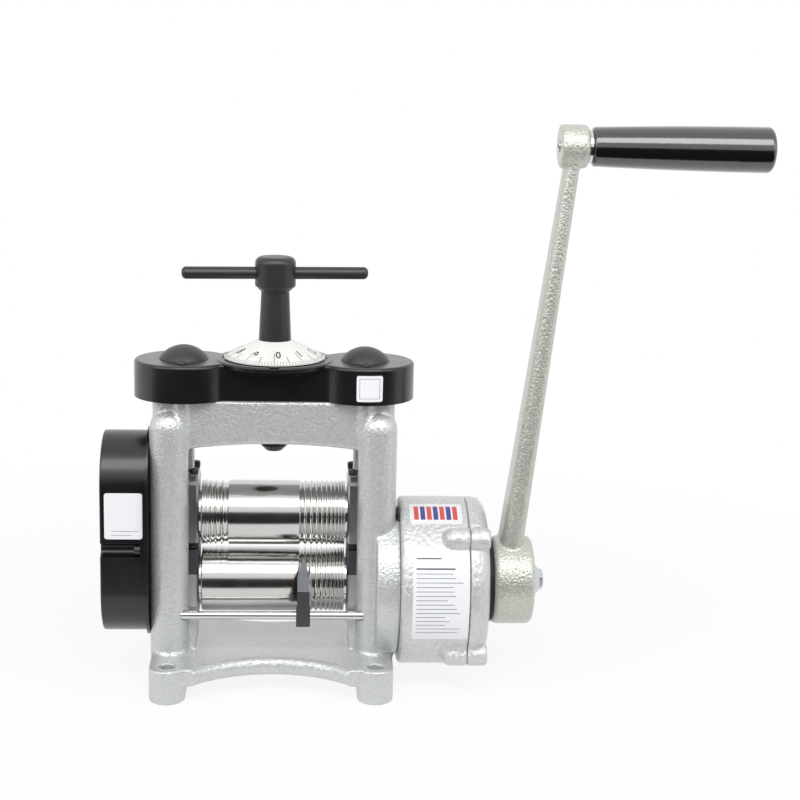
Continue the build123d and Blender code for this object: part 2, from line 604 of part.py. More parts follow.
def bridge():
    """Top block that joins the housings, arched underneath."""
    outline = Polyline(
        (HOUSING_IN_X, ARCH_END_Z), (HOUSING_IN_X, WINDOW_TOP_Z), (TOP_HALF_LENGTH, WINDOW_TOP_Z),
        (TOP_HALF_LENGTH, TOP_Z), (-TOP_HALF_LENGTH, TOP_Z), (-TOP_HALF_LENGTH, WINDOW_TOP_Z),
        (-HOUSING_IN_X, WINDOW_TOP_Z), (-HOUSING_IN_X, ARCH_END_Z))
    arch = ThreePointArc((-HOUSING_IN_X, ARCH_END_Z), (0, ARCH_MID_Z), (HOUSING_IN_X, ARCH_END_Z))
    face = make_face([*outline.edges(), arch.edge()])
    beam = Pos(0, TOP_HALF_DEPTH, 0) * Rot(90, 0, 0) * extrude(face, 2 * TOP_HALF_DEPTH)
    corners = beam.edges().filter_by(Axis.Z).filter_by(lambda e: abs(e.center().X) > HOUSING_CENTRE_X)
    beam = fillet(corners, TOP_CORNER)
    lips = [edge for edge in beam.edges().filter_by(GeomType.CIRCLE)
            if abs(edge.center().X) < SPINDLE_RADIUS]
    return fillet(lips, ARCH_EDGE)


def bearing_pad(side):
    """Step on the housing's inner wall that carries the lower bearing block."""
    low_z = BASE_BOTTOM_Z + BASE_RIM
    profile = make_face(Polyline(
        (side * BLOCK_IN_X, WINDOW_BOTTOM_Z), (side * HOUSING_CENTRE_X, WINDOW_BOTTOM_Z),
        (side * HOUSING_CENTRE_X, low_z), (side * (BLOCK_IN_X + PAD_LEAN), low_z), close=True))
    return Pos(0, PAD_HALF_DEPTH, 0) * Rot(90, 0, 0) * extrude(profile, 2 * PAD_HALF_DEPTH)


def backplate_screw_places():
    """Where the guard's backplate is screwed to the left housing, as (y, z)."""
    low_z = WINDOW_BOTTOM_Z - BACKPLATE_SCREW_BELOW
    high_z = WINDOW_TOP_Z + BACKPLATE_SCREW_ABOVE
    return [(-BACKPLATE_SCREW_Y, low_z), (BACKPLATE_SCREW_Y, low_z), (0, high_z)]


def flange_screw_places():
    """Where the gearbox is screwed to the right housing, as (y, z)."""
    return around_x(FLANGE_SCREW_COUNT, FLANGE_SCREW_CIRCLE, FLANGE_SCREW_FIRST_ANGLE, LOWER_AXIS_Z)


def frame_bores():
    """Everything that is machined out of the casting."""
    cuts = [rod_z(SPINDLE_BUSH_RADIUS, ARCH_END_Z, TOP_Z + PAST)]
    for _, side in SIDES:
        x = side * SCREW_X
        cuts.append(block(side * HOUSING_IN_X, side * (GEARBOX_FACE_X + PAST), -WINDOW_HALF_DEPTH,
                          WINDOW_HALF_DEPTH, WINDOW_BOTTOM_Z, WINDOW_TOP_Z))
        cuts.append(rod_z(NUT_RADIUS, WINDOW_TOP_Z - PAST, NUT_TOP_Z, x))
        cuts.append(rod_z(SCREW_RADIUS + SCREW_PASSAGE, NUT_TOP_Z - PAST, TOP_Z + PAST, x))
        cuts.append(rod_z(IDLER_PIN_RADIUS, TOP_Z - IDLER_PIN_DEPTH, TOP_Z + PAST, side * IDLER_X))
        cuts.append(rod_x(ROD_RADIUS, side * (HOUSING_IN_X - PAST), side * ROD_HALF_LENGTH, ROD_Y, ROD_Z))
        for way in (-1, 1):
            cuts.append(rod_z(COVER_SCREW_RADIUS, TOP_Z - COVER_SCREW_DEPTH, TOP_Z + PAST, x,
                              way * COVER_SCREW_Y))
            cuts.append(rod_z(BOLT_HOLE_RADIUS, -PAST, BASE_TOP_Z + PAST, side * FOOT_X, way * FOOT_Y))
    for y, z in flange_screw_places():
        cuts.append(rod_x(FLANGE_SCREW_RADIUS, GEARBOX_FACE_X - FLANGE_SCREW_DEPTH, GEARBOX_FACE_X + PAST,
                          y, z))
    for y, z in backplate_screw_places():
        cuts.append(rod_x(BACKPLATE_SCREW_RADIUS, -HOUSING_OUT_X - PAST,
                          -HOUSING_OUT_X + BACKPLATE_SCREW_DEPTH, y, z))
    return cuts


def frame_casting():
    """The whole casting: base, feet, two housings and the bridge over them, with its bores."""
    body = base_plate()
    for _, side in SIDES:
        body += side_housing(side)
    roots = [
        edge for edge in body.edges().filter_by(GeomType.CIRCLE)
        if math.isclose(edge.center().Z, BASE_TOP_Z, abs_tol=0.01)
        and math.isclose(edge.radius, COLUMN_RADIUS, abs_tol=0.01)
    ]
    body = fillet(roots, COLUMN_FILLET)
    for _, side in SIDES:
        body += bearing_pad(side)
        for way in (-1, 1):
            body += foot(side, way)
            body += rod_z(FRAME_BOSS_RADIUS, TOP_Z - FRAME_BOSS_HEIGHT, TOP_Z, side * SCREW_X,
                          way * COVER_SCREW_Y)
    body += bridge()
    body += rod_x(GEARBOX_FACE_RADIUS, HOUSING_CENTRE_X, GEARBOX_FACE_X, 0, LOWER_AXIS_Z)
    return body - frame_bores()


# ---------------------------------------------------------------- rolls
def vee_edges():
    """Square-wire grooves of finer and finer pitch, as (x, radius) points from left to right."""
    points, x = [], VEE_START_X
    for index in range(VEE_COUNT):
        pitch = VEE_FIRST_PITCH + (VEE_LAST_PITCH - VEE_FIRST_PITCH) * index / (VEE_COUNT - 1)
        width = pitch * (1 - VEE_LAND)
        points += [(x, ROLL_RADIUS), (x + width / 2, ROLL_RADIUS - width / 2), (x + width, ROLL_RADIUS)]
        x += pitch
    return points


def roll(right_steps, round_widths=()):
    """One roll, turned about X: tail, journal, grooved body and what `right_steps` adds at the right."""
    shoulder_x = BLOCK_IN_X - END_PLAY
    start = [
        (ROLL_TAIL_X, 0), (ROLL_TAIL_X, ROLL_GEAR_SEAT_RADIUS), (-BLOCK_OUT_X, ROLL_GEAR_SEAT_RADIUS),
        (-BLOCK_OUT_X, JOURNAL_RADIUS), (-shoulder_x, JOURNAL_RADIUS), (-shoulder_x, SHOULDER_RADIUS),
        (-ROLL_HALF, SHOULDER_RADIUS), (-ROLL_HALF, ROLL_RADIUS - EDGE_CHAMFER),
        (-ROLL_HALF + EDGE_CHAMFER, ROLL_RADIUS),
    ]
    edges = Polyline(*[(x, 0, r) for x, r in start]).edges()
    x = -ROLL_HALF + EDGE_CHAMFER
    for width in round_widths:
        lip = x + ROUND_LAND
        x = lip + width
        bottom = ROLL_RADIUS - width * ROUND_DEPTH_SHARE
        edges.append(Line((lip - ROUND_LAND, 0, ROLL_RADIUS), (lip, 0, ROLL_RADIUS)).edge())
        groove = ThreePointArc((lip, 0, ROLL_RADIUS), (lip + width / 2, 0, bottom), (x, 0, ROLL_RADIUS))
        edges.append(groove.edge())
    finish = [
        (ROLL_HALF - EDGE_CHAMFER / 2, ROLL_RADIUS), (ROLL_HALF, ROLL_RADIUS - EDGE_CHAMFER / 2),
        (ROLL_HALF, SHOULDER_RADIUS), (shoulder_x, SHOULDER_RADIUS), (shoulder_x, JOURNAL_RADIUS),
    ]
    rest = [(x, ROLL_RADIUS)] + vee_edges() + finish + right_steps + [(ROLL_TAIL_X, 0)]
    edges += Polyline(*[(px, 0, r) for px, r in rest]).edges()
    return revolve(make_face(edges), Axis.X, 360)


def rolls():
    """Both rolls, the gears that tie them together and the circlips that hold these."""
    lower = roll([(BLOCK_OUT_X, JOURNAL_RADIUS), (BLOCK_OUT_X, OUTPUT_SHAFT_RADIUS),
                  (OUTPUT_END_X, OUTPUT_SHAFT_RADIUS), (OUTPUT_END_X, 0)])
    lower -= rod_x(NOSE_RADIUS + RUNNING, OUTPUT_END_X - NOSE_LENGTH - END_PLAY, OUTPUT_END_X + PAST)
    upper = roll([(BLOCK_OUT_X, JOURNAL_RADIUS), (BLOCK_OUT_X, 0)], ROUND_WIDTHS)
    module = ROLL_GEAR_MODULE
    outline = gear_outline(ROLL_GEAR_TEETH, module, module, ROLL_GEAR_DEDENDUM * module, ROLL_GEAR_THIN,
                           ROLL_GEAR_PRESSURE_ANGLE)
    plate = gear_plate(outline, ROLL_GEAR_WIDTH)
    plate -= rod_z(ROLL_GEAR_SEAT_RADIUS, -PAST, ROLL_GEAR_WIDTH + PAST)
    half_tooth = 180.0 / ROLL_GEAR_TEETH
    circlip = tube_x(ROLL_GEAR_SEAT_RADIUS + CIRCLIP_WALL, ROLL_GEAR_SEAT_RADIUS,
                     ROLL_GEAR_END_X - CIRCLIP_WIDTH, ROLL_GEAR_END_X)
    return {
        "lower_roll": Pos(0, 0, LOWER_AXIS_Z) * lower,
        "upper_roll": Pos(0, 0, UPPER_AXIS_Z) * upper,
        "lower_roll_gear": gear_x(plate, ROLL_GEAR_END_X, LOWER_AXIS_Z, 90),
        "upper_roll_gear": gear_x(plate, ROLL_GEAR_END_X, UPPER_AXIS_Z, 90 + half_tooth),
        "lower_roll_circlip": Pos(0, 0, LOWER_AXIS_Z) * circlip,
        "upper_roll_circlip": Pos(0, 0, UPPER_AXIS_Z) * circlip,
    }


# ---------------------------------------------------------------- bearing blocks, springs and clips
def spring_places(side):
    """Centres of one side's two lift springs, as (x, y)."""
    return [(side * SPRING_X, way * SPRING_Y) for way in (-1, 1)]


def clip_screw_places(side):
    """Centres of the two screws of one side's clip, as (x, y)."""
    return [(side * CLIP_SCREW_X, way * CLIP_SCREW_Y) for way in (-1, 1)]


def bearing_block(side, z0, z1, bore_z):
    """Block that fills the housing's window and is bored for a roll's bush."""
    body = block(side * BLOCK_IN_X, side * BLOCK_OUT_X, -BLOCK_HALF_DEPTH, BLOCK_HALF_DEPTH, z0, z1)
    nose = body.edges().filter_by(Axis.Z).filter_by(lambda e: abs(e.center().X) < HOUSING_CENTRE_X)
    body = chamfer(nose, BLOCK_EDGE)
    return body - rod_x(BUSH_RADIUS, side * (BLOCK_IN_X - PAST), side * (BLOCK_OUT_X + PAST), 0, bore_z)


def helix_path(z0, z1, radius, turns):
    """Coil line about Z from z0 up to z1 as pairs of tangent arcs, two for each quarter turn."""
    climb = (z1 - z0) / (2 * math.pi * turns)

    def state(angle):
        place = Vector(radius * math.cos(angle), radius * math.sin(angle), z0 + climb * angle)
        way = Vector(-radius * math.sin(angle), radius * math.cos(angle), climb).normalized()
        return place, way

    arcs = []
    quarter = math.pi / 2
    for index in range(4 * turns):
        first, first_way = state(index * quarter)
        last, last_way = state((index + 1) * quarter)
        chord = last - first
        a = 2 * (first_way.dot(last_way) - 1)
        b = -2 * chord.dot(first_way + last_way)
        c = chord.dot(chord)
        reach = (-b - math.sqrt(b * b - 4 * a * c)) / (2 * a)
        middle = (first + first_way * reach + last - last_way * reach) * 0.5
        joint_way = (last - last_way * reach - first - first_way * reach).normalized()
        arcs.append(Edge.make_tangent_arc(first, first_way, middle))
        arcs.append(Edge.make_tangent_arc(middle, joint_way, last))
    return Wire(arcs)


def lift_springs():
    """Four coil springs that hold the upper blocks up against the pressure screws."""
    z0 = KEEPER_TOP_Z - KEEPER_POCKET_DEPTH + SPRING_WIRE_RADIUS
    z1 = UPPER_BLOCK_BOTTOM_Z + BLOCK_POCKET_DEPTH - SPRING_WIRE_RADIUS
    line = helix_path(z0, z1, SPRING_COIL_RADIUS, SPRING_TURNS)
    section = Plane(origin=line @ 0, z_dir=line % 0) * Circle(SPRING_WIRE_RADIUS)
    spring = sweep(section, path=line)
    wire = 2 * SPRING_WIRE_RADIUS
    print(f"lift spring: least gap between coils {(z1 - z0) / SPRING_TURNS - wire:.2f} mm, "
          f"at the closed gap {(z1 - z0 - LIFT_DOWN) / SPRING_TURNS - wire:.2f} mm")
    return group([Pos(x, y, 0) * spring for _, side in SIDES for x, y in spring_places(side)])


def screw_clip(side):
    """Plate on an upper block that traps the pressure screw's foot, so the block hangs from it."""
    x = side * SCREW_X
    out_x = side * (SCREW_X + CLIP_BEYOND_SCREW)
    plate = block(side * (BLOCK_IN_X + CLIP_INSET), out_x, -CLIP_HALF_DEPTH, CLIP_HALF_DEPTH,
                  UPPER_BLOCK_TOP_Z, CLIP_TOP_Z)
    plate = fillet(plate.edges().filter_by(Axis.Z), CLIP_CORNER)
    foot_top = UPPER_BLOCK_TOP_Z + SCREW_FOOT_HEIGHT + END_PLAY
    for half, z0, z1 in (
        (SCREW_FOOT_RADIUS + END_PLAY, UPPER_BLOCK_TOP_Z - PAST, foot_top),
        (SCREW_NECK_RADIUS + END_PLAY, foot_top - PAST, CLIP_TOP_Z + PAST),
    ):
        plate -= rod_z(half, z0, z1, x)
        plate -= block(x, out_x + side * PAST, -half, half, z0, z1)
    return plate - [rod_z(CLIP_SCREW_RADIUS, UPPER_BLOCK_TOP_Z - PAST, CLIP_TOP_Z + PAST, px, py)
                    for px, py in clip_screw_places(side)]


def upper_bearing_block(side):
    """Sliding block of the upper roll, with the springs' pockets below and tapped holes on top."""
    body = bearing_block(side, UPPER_BLOCK_BOTTOM_Z, UPPER_BLOCK_TOP_Z, UPPER_AXIS_Z)
    pocket_z = UPPER_BLOCK_BOTTOM_Z + BLOCK_POCKET_DEPTH
    thread_z = UPPER_BLOCK_TOP_Z - CLIP_SCREW_DEPTH
    body -= [rod_z(SPRING_POCKET_RADIUS, UPPER_BLOCK_BOTTOM_Z - PAST, pocket_z, x, y)
             for x, y in spring_places(side)]
    return body - [rod_z(CLIP_SCREW_RADIUS, thread_z, UPPER_BLOCK_TOP_Z + PAST, x, y)
                   for x, y in clip_screw_places(side)]


def keeper_block(side):
    """Half block that covers the lower roll's bush and holds the foot of the springs."""
    body = bearing_block(side, LOWER_BLOCK_TOP_Z + KEEPER_GAP, KEEPER_TOP_Z, LOWER_AXIS_Z)
    pocket_z = KEEPER_TOP_Z - KEEPER_POCKET_DEPTH
    return body - [rod_z(SPRING_POCKET_RADIUS, pocket_z, KEEPER_TOP_Z + PAST, x, y)
                   for x, y in spring_places(side)]


def bearings():
    """Blocks, bushes, springs and clips of both housings."""
    lower_blocks, keepers, upper_blocks, clips = [], [], [], []
    lower_bushes, upper_bushes, clip_screws = [], [], []
    for _, side in SIDES:
        lower_blocks.append(bearing_block(side, WINDOW_BOTTOM_Z, LOWER_BLOCK_TOP_Z, LOWER_AXIS_Z))
        keepers.append(keeper_block(side))
        upper_blocks.append(upper_bearing_block(side))
        clips.append(screw_clip(side))
        for bushes, z in ((lower_bushes, LOWER_AXIS_Z), (upper_bushes, UPPER_AXIS_Z)):
            bushes.append(tube_x(BUSH_RADIUS, JOURNAL_RADIUS + RUNNING, side * BLOCK_IN_X,
                                 side * BLOCK_OUT_X, 0, z))
        for x, y in clip_screw_places(side):
            clip_screws.append(cap_screw_z(CLIP_SCREW_RADIUS, CLIP_TOP_Z, CLIP_THICKNESS + CLIP_SCREW_DEPTH,
                                           x, y, CLIP_SCREW_HEAD, 2 * CLIP_SCREW_RADIUS))
    return {
        "lower_bearing_blocks": group(lower_blocks),
        "keeper_blocks": group(keepers),
        "upper_bearing_blocks": group(upper_blocks),
        "screw_clips": group(clips),
        "clip_screws": group(clip_screws),
        "lower_roll_bushes": group(lower_bushes),
        "upper_roll_bushes": group(upper_bushes),
        "lift_springs": lift_springs(),
    }


# ---------------------------------------------------------------- pressure screws and their gears
def fine_gear(x, z0, thickness, bore):
    """One gear of the train under the top cover. All five stand alike, a tooth towards +X."""
    outline = gear_outline(FINE_TEETH, FINE_MODULE, FINE_MODULE, DEDENDUM * FINE_MODULE, BACKLASH)
    return Pos(x, 0, z0) * (gear_plate(outline, thickness) - rod_z(bore, -PAST, thickness + PAST))


def pressure_screw(side):
    """Screw with a trapped foot below and a seat for its gear on top."""
    foot_z = UPPER_BLOCK_TOP_Z + RUNNING
    neck_z = UPPER_BLOCK_TOP_Z + SCREW_FOOT_HEIGHT
    thread_z = CLIP_TOP_Z + END_PLAY
    top = SCREW_GEAR_BOTTOM_Z + SCREW_GEAR_THICKNESS + SCREW_TOP_ABOVE_GEAR
    return turned_z([
        (0, foot_z), (SCREW_FOOT_RADIUS, foot_z), (SCREW_FOOT_RADIUS, neck_z), (SCREW_NECK_RADIUS, neck_z),
        (SCREW_NECK_RADIUS, thread_z), (SCREW_RADIUS - SCREW_CHAMFER, thread_z),
        (SCREW_RADIUS, thread_z + SCREW_CHAMFER), (SCREW_RADIUS, SCREW_GEAR_BOTTOM_Z),
        (SCREW_TOP_RADIUS, SCREW_GEAR_BOTTOM_Z), (SCREW_TOP_RADIUS, top - SCREW_CHAMFER),
        (SCREW_TOP_RADIUS - SCREW_CHAMFER, top), (0, top),
    ], side * SCREW_X)


def idler_pin(side):
    """Pin pressed into the casting, with a collar under its idler and a head over it."""
    x = side * IDLER_X
    head_z = IDLER_TOP_Z + END_PLAY
    pin = rod_z(IDLER_PIN_RADIUS, TOP_Z - IDLER_PIN_DEPTH, head_z, x)
    pin += rod_z(IDLER_PIN_RADIUS + PIN_COLLAR, TOP_Z, IDLER_BOTTOM_Z - END_PLAY, x)
    return pin + rod_z(IDLER_PIN_RADIUS + PIN_HEAD, head_z, head_z + PIN_HEAD_HEIGHT, x)


def screw_train():
    """Pressure screws, their nuts and the gears that turn them together."""
    nodes, nuts = {}, []
    for name, side in SIDES:
        x = side * SCREW_X
        nodes[f"pressure_screw_{name}"] = pressure_screw(side)
        nodes[f"screw_gear_{name}"] = fine_gear(x, SCREW_GEAR_BOTTOM_Z, SCREW_GEAR_THICKNESS,
                                                SCREW_TOP_RADIUS)
        nodes[f"idler_gear_{name}"] = fine_gear(side * IDLER_X, IDLER_BOTTOM_Z, IDLER_THICKNESS,
                                                IDLER_PIN_RADIUS + RUNNING)
        nuts.append(tube_z(NUT_RADIUS, SCREW_RADIUS + RUNNING, NUT_BOTTOM_Z, NUT_TOP_Z, x))
    nodes["pressure_screw_nuts"] = group(nuts)
    nodes["idler_pins"] = group([idler_pin(side) for _, side in SIDES])
    return nodes


# ---------------------------------------------------------------- thickness control
def t_handle(turn):
    """Tapered shaft with a round head that is bored across for the tommy bar."""
    body = turned_z([
        (0, DIAL_TOP_Z), (T_SHAFT_FOOT_RADIUS, DIAL_TOP_Z), (T_SHAFT_WAIST_RADIUS, T_SHAFT_WAIST_Z),
        (T_HEAD_RADIUS, T_HEAD_BOTTOM_Z), (T_HEAD_RADIUS, T_HEAD_TOP_Z), (0, T_HEAD_TOP_Z)])
    body = fillet(body.faces().sort_by(Axis.Z)[-1].edges(), T_HEAD_ROUND)
    hole = turn * rod_x(TOMMY_RADIUS, -T_HEAD_RADIUS - PAST, T_HEAD_RADIUS + PAST, 0, TOMMY_Z)
    return body - [hole, rod_z(SPINDLE_RADIUS, DIAL_TOP_Z - PAST, T_SHAFT_WAIST_Z)]


def dial():
    """Conical dial in one piece with the hub that stands on the pinion."""
    return turned_z([
        (SPINDLE_RADIUS, IDLER_TOP_Z), (DIAL_HUB_RADIUS, IDLER_TOP_Z),
        (DIAL_HUB_RADIUS, DIAL_TOP_Z - DIAL_WALL), (DIAL_RADIUS - DIAL_RIM_LEDGE, DIAL_RIM_Z),
        (DIAL_RADIUS, DIAL_RIM_Z), (DIAL_RADIUS, DIAL_RIM_Z + DIAL_RIM_HEIGHT),
        (DIAL_TOP_RADIUS, DIAL_TOP_Z), (SPINDLE_RADIUS, DIAL_TOP_Z)])


def thickness_control():
    """Spindle with its bush, nut and pinion, and the dial and handle on top of it."""
    flange_z = TOP_Z + SPINDLE_BUSH_FLANGE_HEIGHT
    pinion_z = flange_z + END_PLAY
    nut_top = ARCH_MID_Z - END_PLAY
    nut_bottom = nut_top - SPINDLE_NUT_HEIGHT
    thread_end = nut_bottom + SPINDLE_NUT_END_WALL
    bush = tube_z(SPINDLE_BUSH_RADIUS, SPINDLE_RADIUS + RUNNING, ARCH_MID_Z, flange_z)
    bush += tube_z(SPINDLE_BUSH_RADIUS + SPINDLE_BUSH_FLANGE, SPINDLE_RADIUS + RUNNING, TOP_Z, flange_z)
    turn = Rot(0, 0, TOMMY_TURN)
    bar = rod_x(TOMMY_RADIUS, -TOMMY_LENGTH / 2, TOMMY_LENGTH / 2, 0, TOMMY_Z)
    ends = bar.faces().sort_by(Axis.X)
    return {
        "spindle": turned_z([
            (0, thread_end), (SPINDLE_THREAD_RADIUS, thread_end), (SPINDLE_THREAD_RADIUS, nut_top),
            (SPINDLE_RADIUS, nut_top), (SPINDLE_RADIUS, T_SHAFT_WAIST_Z), (0, T_SHAFT_WAIST_Z)]),
        "spindle_bush": bush,
        "spindle_nut": turned_z([
            (0, nut_bottom), (SPINDLE_NUT_NOSE_RADIUS, nut_bottom),
            (SPINDLE_NUT_RADIUS, nut_bottom + SPINDLE_NUT_TAPER), (SPINDLE_NUT_RADIUS, nut_top),
            (SPINDLE_THREAD_RADIUS, nut_top), (SPINDLE_THREAD_RADIUS, thread_end), (0, thread_end)]),
        "spindle_pinion": fine_gear(0, pinion_z, IDLER_TOP_Z - pinion_z, SPINDLE_RADIUS),
        "dial": dial(),
        "t_handle": t_handle(turn),
        "tommy_bar": turn * fillet(ends[0].edges() + ends[-1].edges(), TOMMY_ROUND),
    }


# ---------------------------------------------------------------- top cover
def cover_plan(inset):
    """Plan of the cover, drawn in by an inset: a lobe over each pressure screw and a web between."""
    half_depth = COVER_WEB_HALF_DEPTH - inset
    plan = Rectangle(2 * SCREW_X, 2 * half_depth)
    for _, side in SIDES:
        plan += Pos(side * SCREW_X, 0) * Circle(COVER_LOBE_RADIUS - inset)
    inner = [corner for corner in plan.vertices()
             if abs(corner.X) < SCREW_X and math.isclose(abs(corner.Y), half_depth, abs_tol=0.01)]
    return fillet(inner, COVER_CORNER)


def cover_screw_places():
    """Centres of the cover's screws, as (x, y)."""
    return [(side * SCREW_X, way * COVER_SCREW_Y) for _, side in SIDES for way in (-1, 1)]


def top_cover():
    """Moulded cover with a bowl-shaped rim round the dial."""
    shell = Pos(0, 0, TOP_Z) * extrude(cover_plan(0), COVER_HEIGHT)
    shell = fillet(shell.faces().sort_by(Axis.Z)[-1].edges(), COVER_EDGE)
    inner_radius = RIM_RADIUS - RIM_WIDTH
    floor_z = RIM_TOP_Z - RECESS_DEPTH
    shell += turned_z([
        (0, BOWL_BOTTOM_Z), (BOWL_FOOT_RADIUS, BOWL_BOTTOM_Z), (RIM_RADIUS, RIM_TOP_Z - RIM_LIP),
        (RIM_RADIUS, RIM_TOP_Z - RIM_EDGE), (RIM_RADIUS - RIM_EDGE, RIM_TOP_Z), (inner_radius, RIM_TOP_Z),
        (inner_radius, floor_z), (0, floor_z)])
    cuts = [Pos(0, 0, TOP_Z) * extrude(cover_plan(COVER_WALL), COVER_HEIGHT - COVER_WALL),
            rod_z(DIAL_HUB_RADIUS + DIAL_HUB_ROOM, TOP_Z, RIM_TOP_Z + PAST)]
    cuts += [rod_z(DOME_SPIGOT_RADIUS, COVER_ROOF_Z - PAST, COVER_TOP_Z + PAST, side * SCREW_X)
             for _, side in SIDES]
    shell -= cuts
    for x, y in cover_screw_places():
        shell += rod_z(COVER_BOSS_RADIUS, TOP_Z, COVER_TOP_Z - COVER_WALL / 2, x, y)
    return shell - [rod_z(COVER_SCREW_RADIUS, TOP_Z - PAST, COVER_TOP_Z + PAST, x, y)
                    for x, y in cover_screw_places()]


def screw_dome(side):
    """Domed cap over the end of a pressure screw, with a spigot in the cover's roof."""
    x = side * SCREW_X
    sphere_radius = (DOME_RADIUS ** 2 + DOME_HEIGHT ** 2) / (2 * DOME_HEIGHT)
    centre = Pos(x, 0, COVER_TOP_Z + DOME_HEIGHT - sphere_radius)
    keep = rod_z(DOME_RADIUS + PAST, COVER_TOP_Z, COVER_TOP_Z + DOME_HEIGHT + PAST, x)
    dome = (centre * Sphere(sphere_radius)) & keep
    dome -= centre * Sphere(sphere_radius - DOME_WALL)
    return dome + tube_z(DOME_SPIGOT_RADIUS, DOME_SPIGOT_RADIUS - DOME_WALL, COVER_ROOF_Z,
                         COVER_TOP_Z + DOME_SPIGOT_OVERLAP, x)


def cover_set():
    """Top cover, its domed caps and its screws."""
    screws = [cap_screw_z(COVER_SCREW_RADIUS, COVER_TOP_Z, COVER_HEIGHT + COVER_SCREW_DEPTH, x, y,
                          COVER_SCREW_HEAD, COVER_SCREW_HEAD_HEIGHT) for x, y in cover_screw_places()]
    return {
        "top_cover": top_cover(),
        "screw_domes": group([screw_dome(side) for _, side in SIDES]),
        "top_cover_screws": group(screws),
    }


# ---------------------------------------------------------------- gear guard
def guard_plan(border):
    """Stadium that encloses both roll gears, standing on end, grown by a border."""
    return SlotCenterToCenter(2 * (GUARD_HALF_HEIGHT - GUARD_RADIUS), 2 * (GUARD_RADIUS + border), 0)


def upright_x(plan, x0, length):
    """Stand a plan up across the X axis, its long way upright, from x0 towards -X."""
    return Pos(x0, 0, GUARD_CENTRE_Z) * Rot(0, -90, 0) * extrude(plan, length)


def guard_slot(way, half, x0, x1, edge_y):
    """Channel along X that opens to the guard's side, between x0 and x1 and out to edge_y."""
    y = way * (GUARD_RADIUS - GUARD_SLOT_DEPTH + GUARD_SLOT_WIDTH / 2)
    return rod_x(half, x0, x1, y, GUARD_SLOT_Z) + block(
        x0, x1, y, way * edge_y, GUARD_SLOT_Z - half, GUARD_SLOT_Z + half)


def guard_cover():
    """Deep cover over the roll gears, with a walled slot in each side for a screw."""
    cover = upright_x(guard_plan(0), GUARD_SEAT_X, GUARD_LENGTH)
    cover = fillet(cover.faces().sort_by(Axis.X)[0].edges(), GUARD_EDGE)
    cover -= upright_x(guard_plan(-GUARD_WALL), GUARD_SEAT_X + PAST, GUARD_LENGTH - GUARD_WALL + PAST)
    half = GUARD_SLOT_WIDTH / 2
    for way in (-1, 1):
        wall = guard_slot(way, half + GUARD_SLOT_WALL, GUARD_SEAT_X, GUARD_END_X + GUARD_WALL / 2,
                          GUARD_RADIUS - GUARD_WALL / 2)
        cover += wall & upright_x(guard_plan(-GUARD_WALL / 2), GUARD_SEAT_X, GUARD_LENGTH)
        cover -= guard_slot(way, half, GUARD_SEAT_X - GUARD_SCREW_FLOOR, GUARD_END_X - PAST,
                            GUARD_RADIUS + PAST)
    return cover


def guard_backplate():
    """Plate between the left housing and the guard, cut away over the housing's window."""
    plate = upright_x(guard_plan(BACKPLATE_BORDER), -HOUSING_OUT_X, BACKPLATE_THICKNESS)
    return plate - block(-HOUSING_OUT_X + PAST, GUARD_SEAT_X - PAST, -WINDOW_HALF_DEPTH, WINDOW_HALF_DEPTH,
                         WINDOW_BOTTOM_Z, WINDOW_TOP_Z)


def gear_guard():
    """Backplate, cover and screws of the guard on the left."""
    cover, back = guard_cover(), guard_backplate()
    floor_x = GUARD_SEAT_X - GUARD_SCREW_FLOOR
    screws = []
    for way in (-1, 1):
        y = way * (GUARD_RADIUS - GUARD_SLOT_DEPTH + GUARD_SLOT_WIDTH / 2)
        hole = rod_x(GUARD_SCREW_RADIUS, -HOUSING_OUT_X + PAST, floor_x - PAST, y, GUARD_SLOT_Z)
        cover -= hole
        back -= hole
        screws.append(cap_screw_x(GUARD_SCREW_RADIUS, floor_x, GUARD_SCREW_FLOOR + BACKPLATE_THICKNESS, y,
                                  GUARD_SLOT_Z, GUARD_SCREW_HEAD, GUARD_SCREW_HEAD_HEIGHT, -1))
    for y, z in backplate_screw_places():
        back -= rod_x(BACKPLATE_SCREW_RADIUS, -HOUSING_OUT_X + PAST, GUARD_SEAT_X - PAST, y, z)
        screws.append(cap_screw_x(BACKPLATE_SCREW_RADIUS, GUARD_SEAT_X,
                                  BACKPLATE_THICKNESS + BACKPLATE_SCREW_DEPTH, y, z,
                                  BACKPLATE_SCREW_HEAD, BACKPLATE_SCREW_RADIUS, -1))
    return {
        "gear_guard_backplate": back,
        "gear_guard_cover": cover,
        "guard_screws": group(screws),
    }


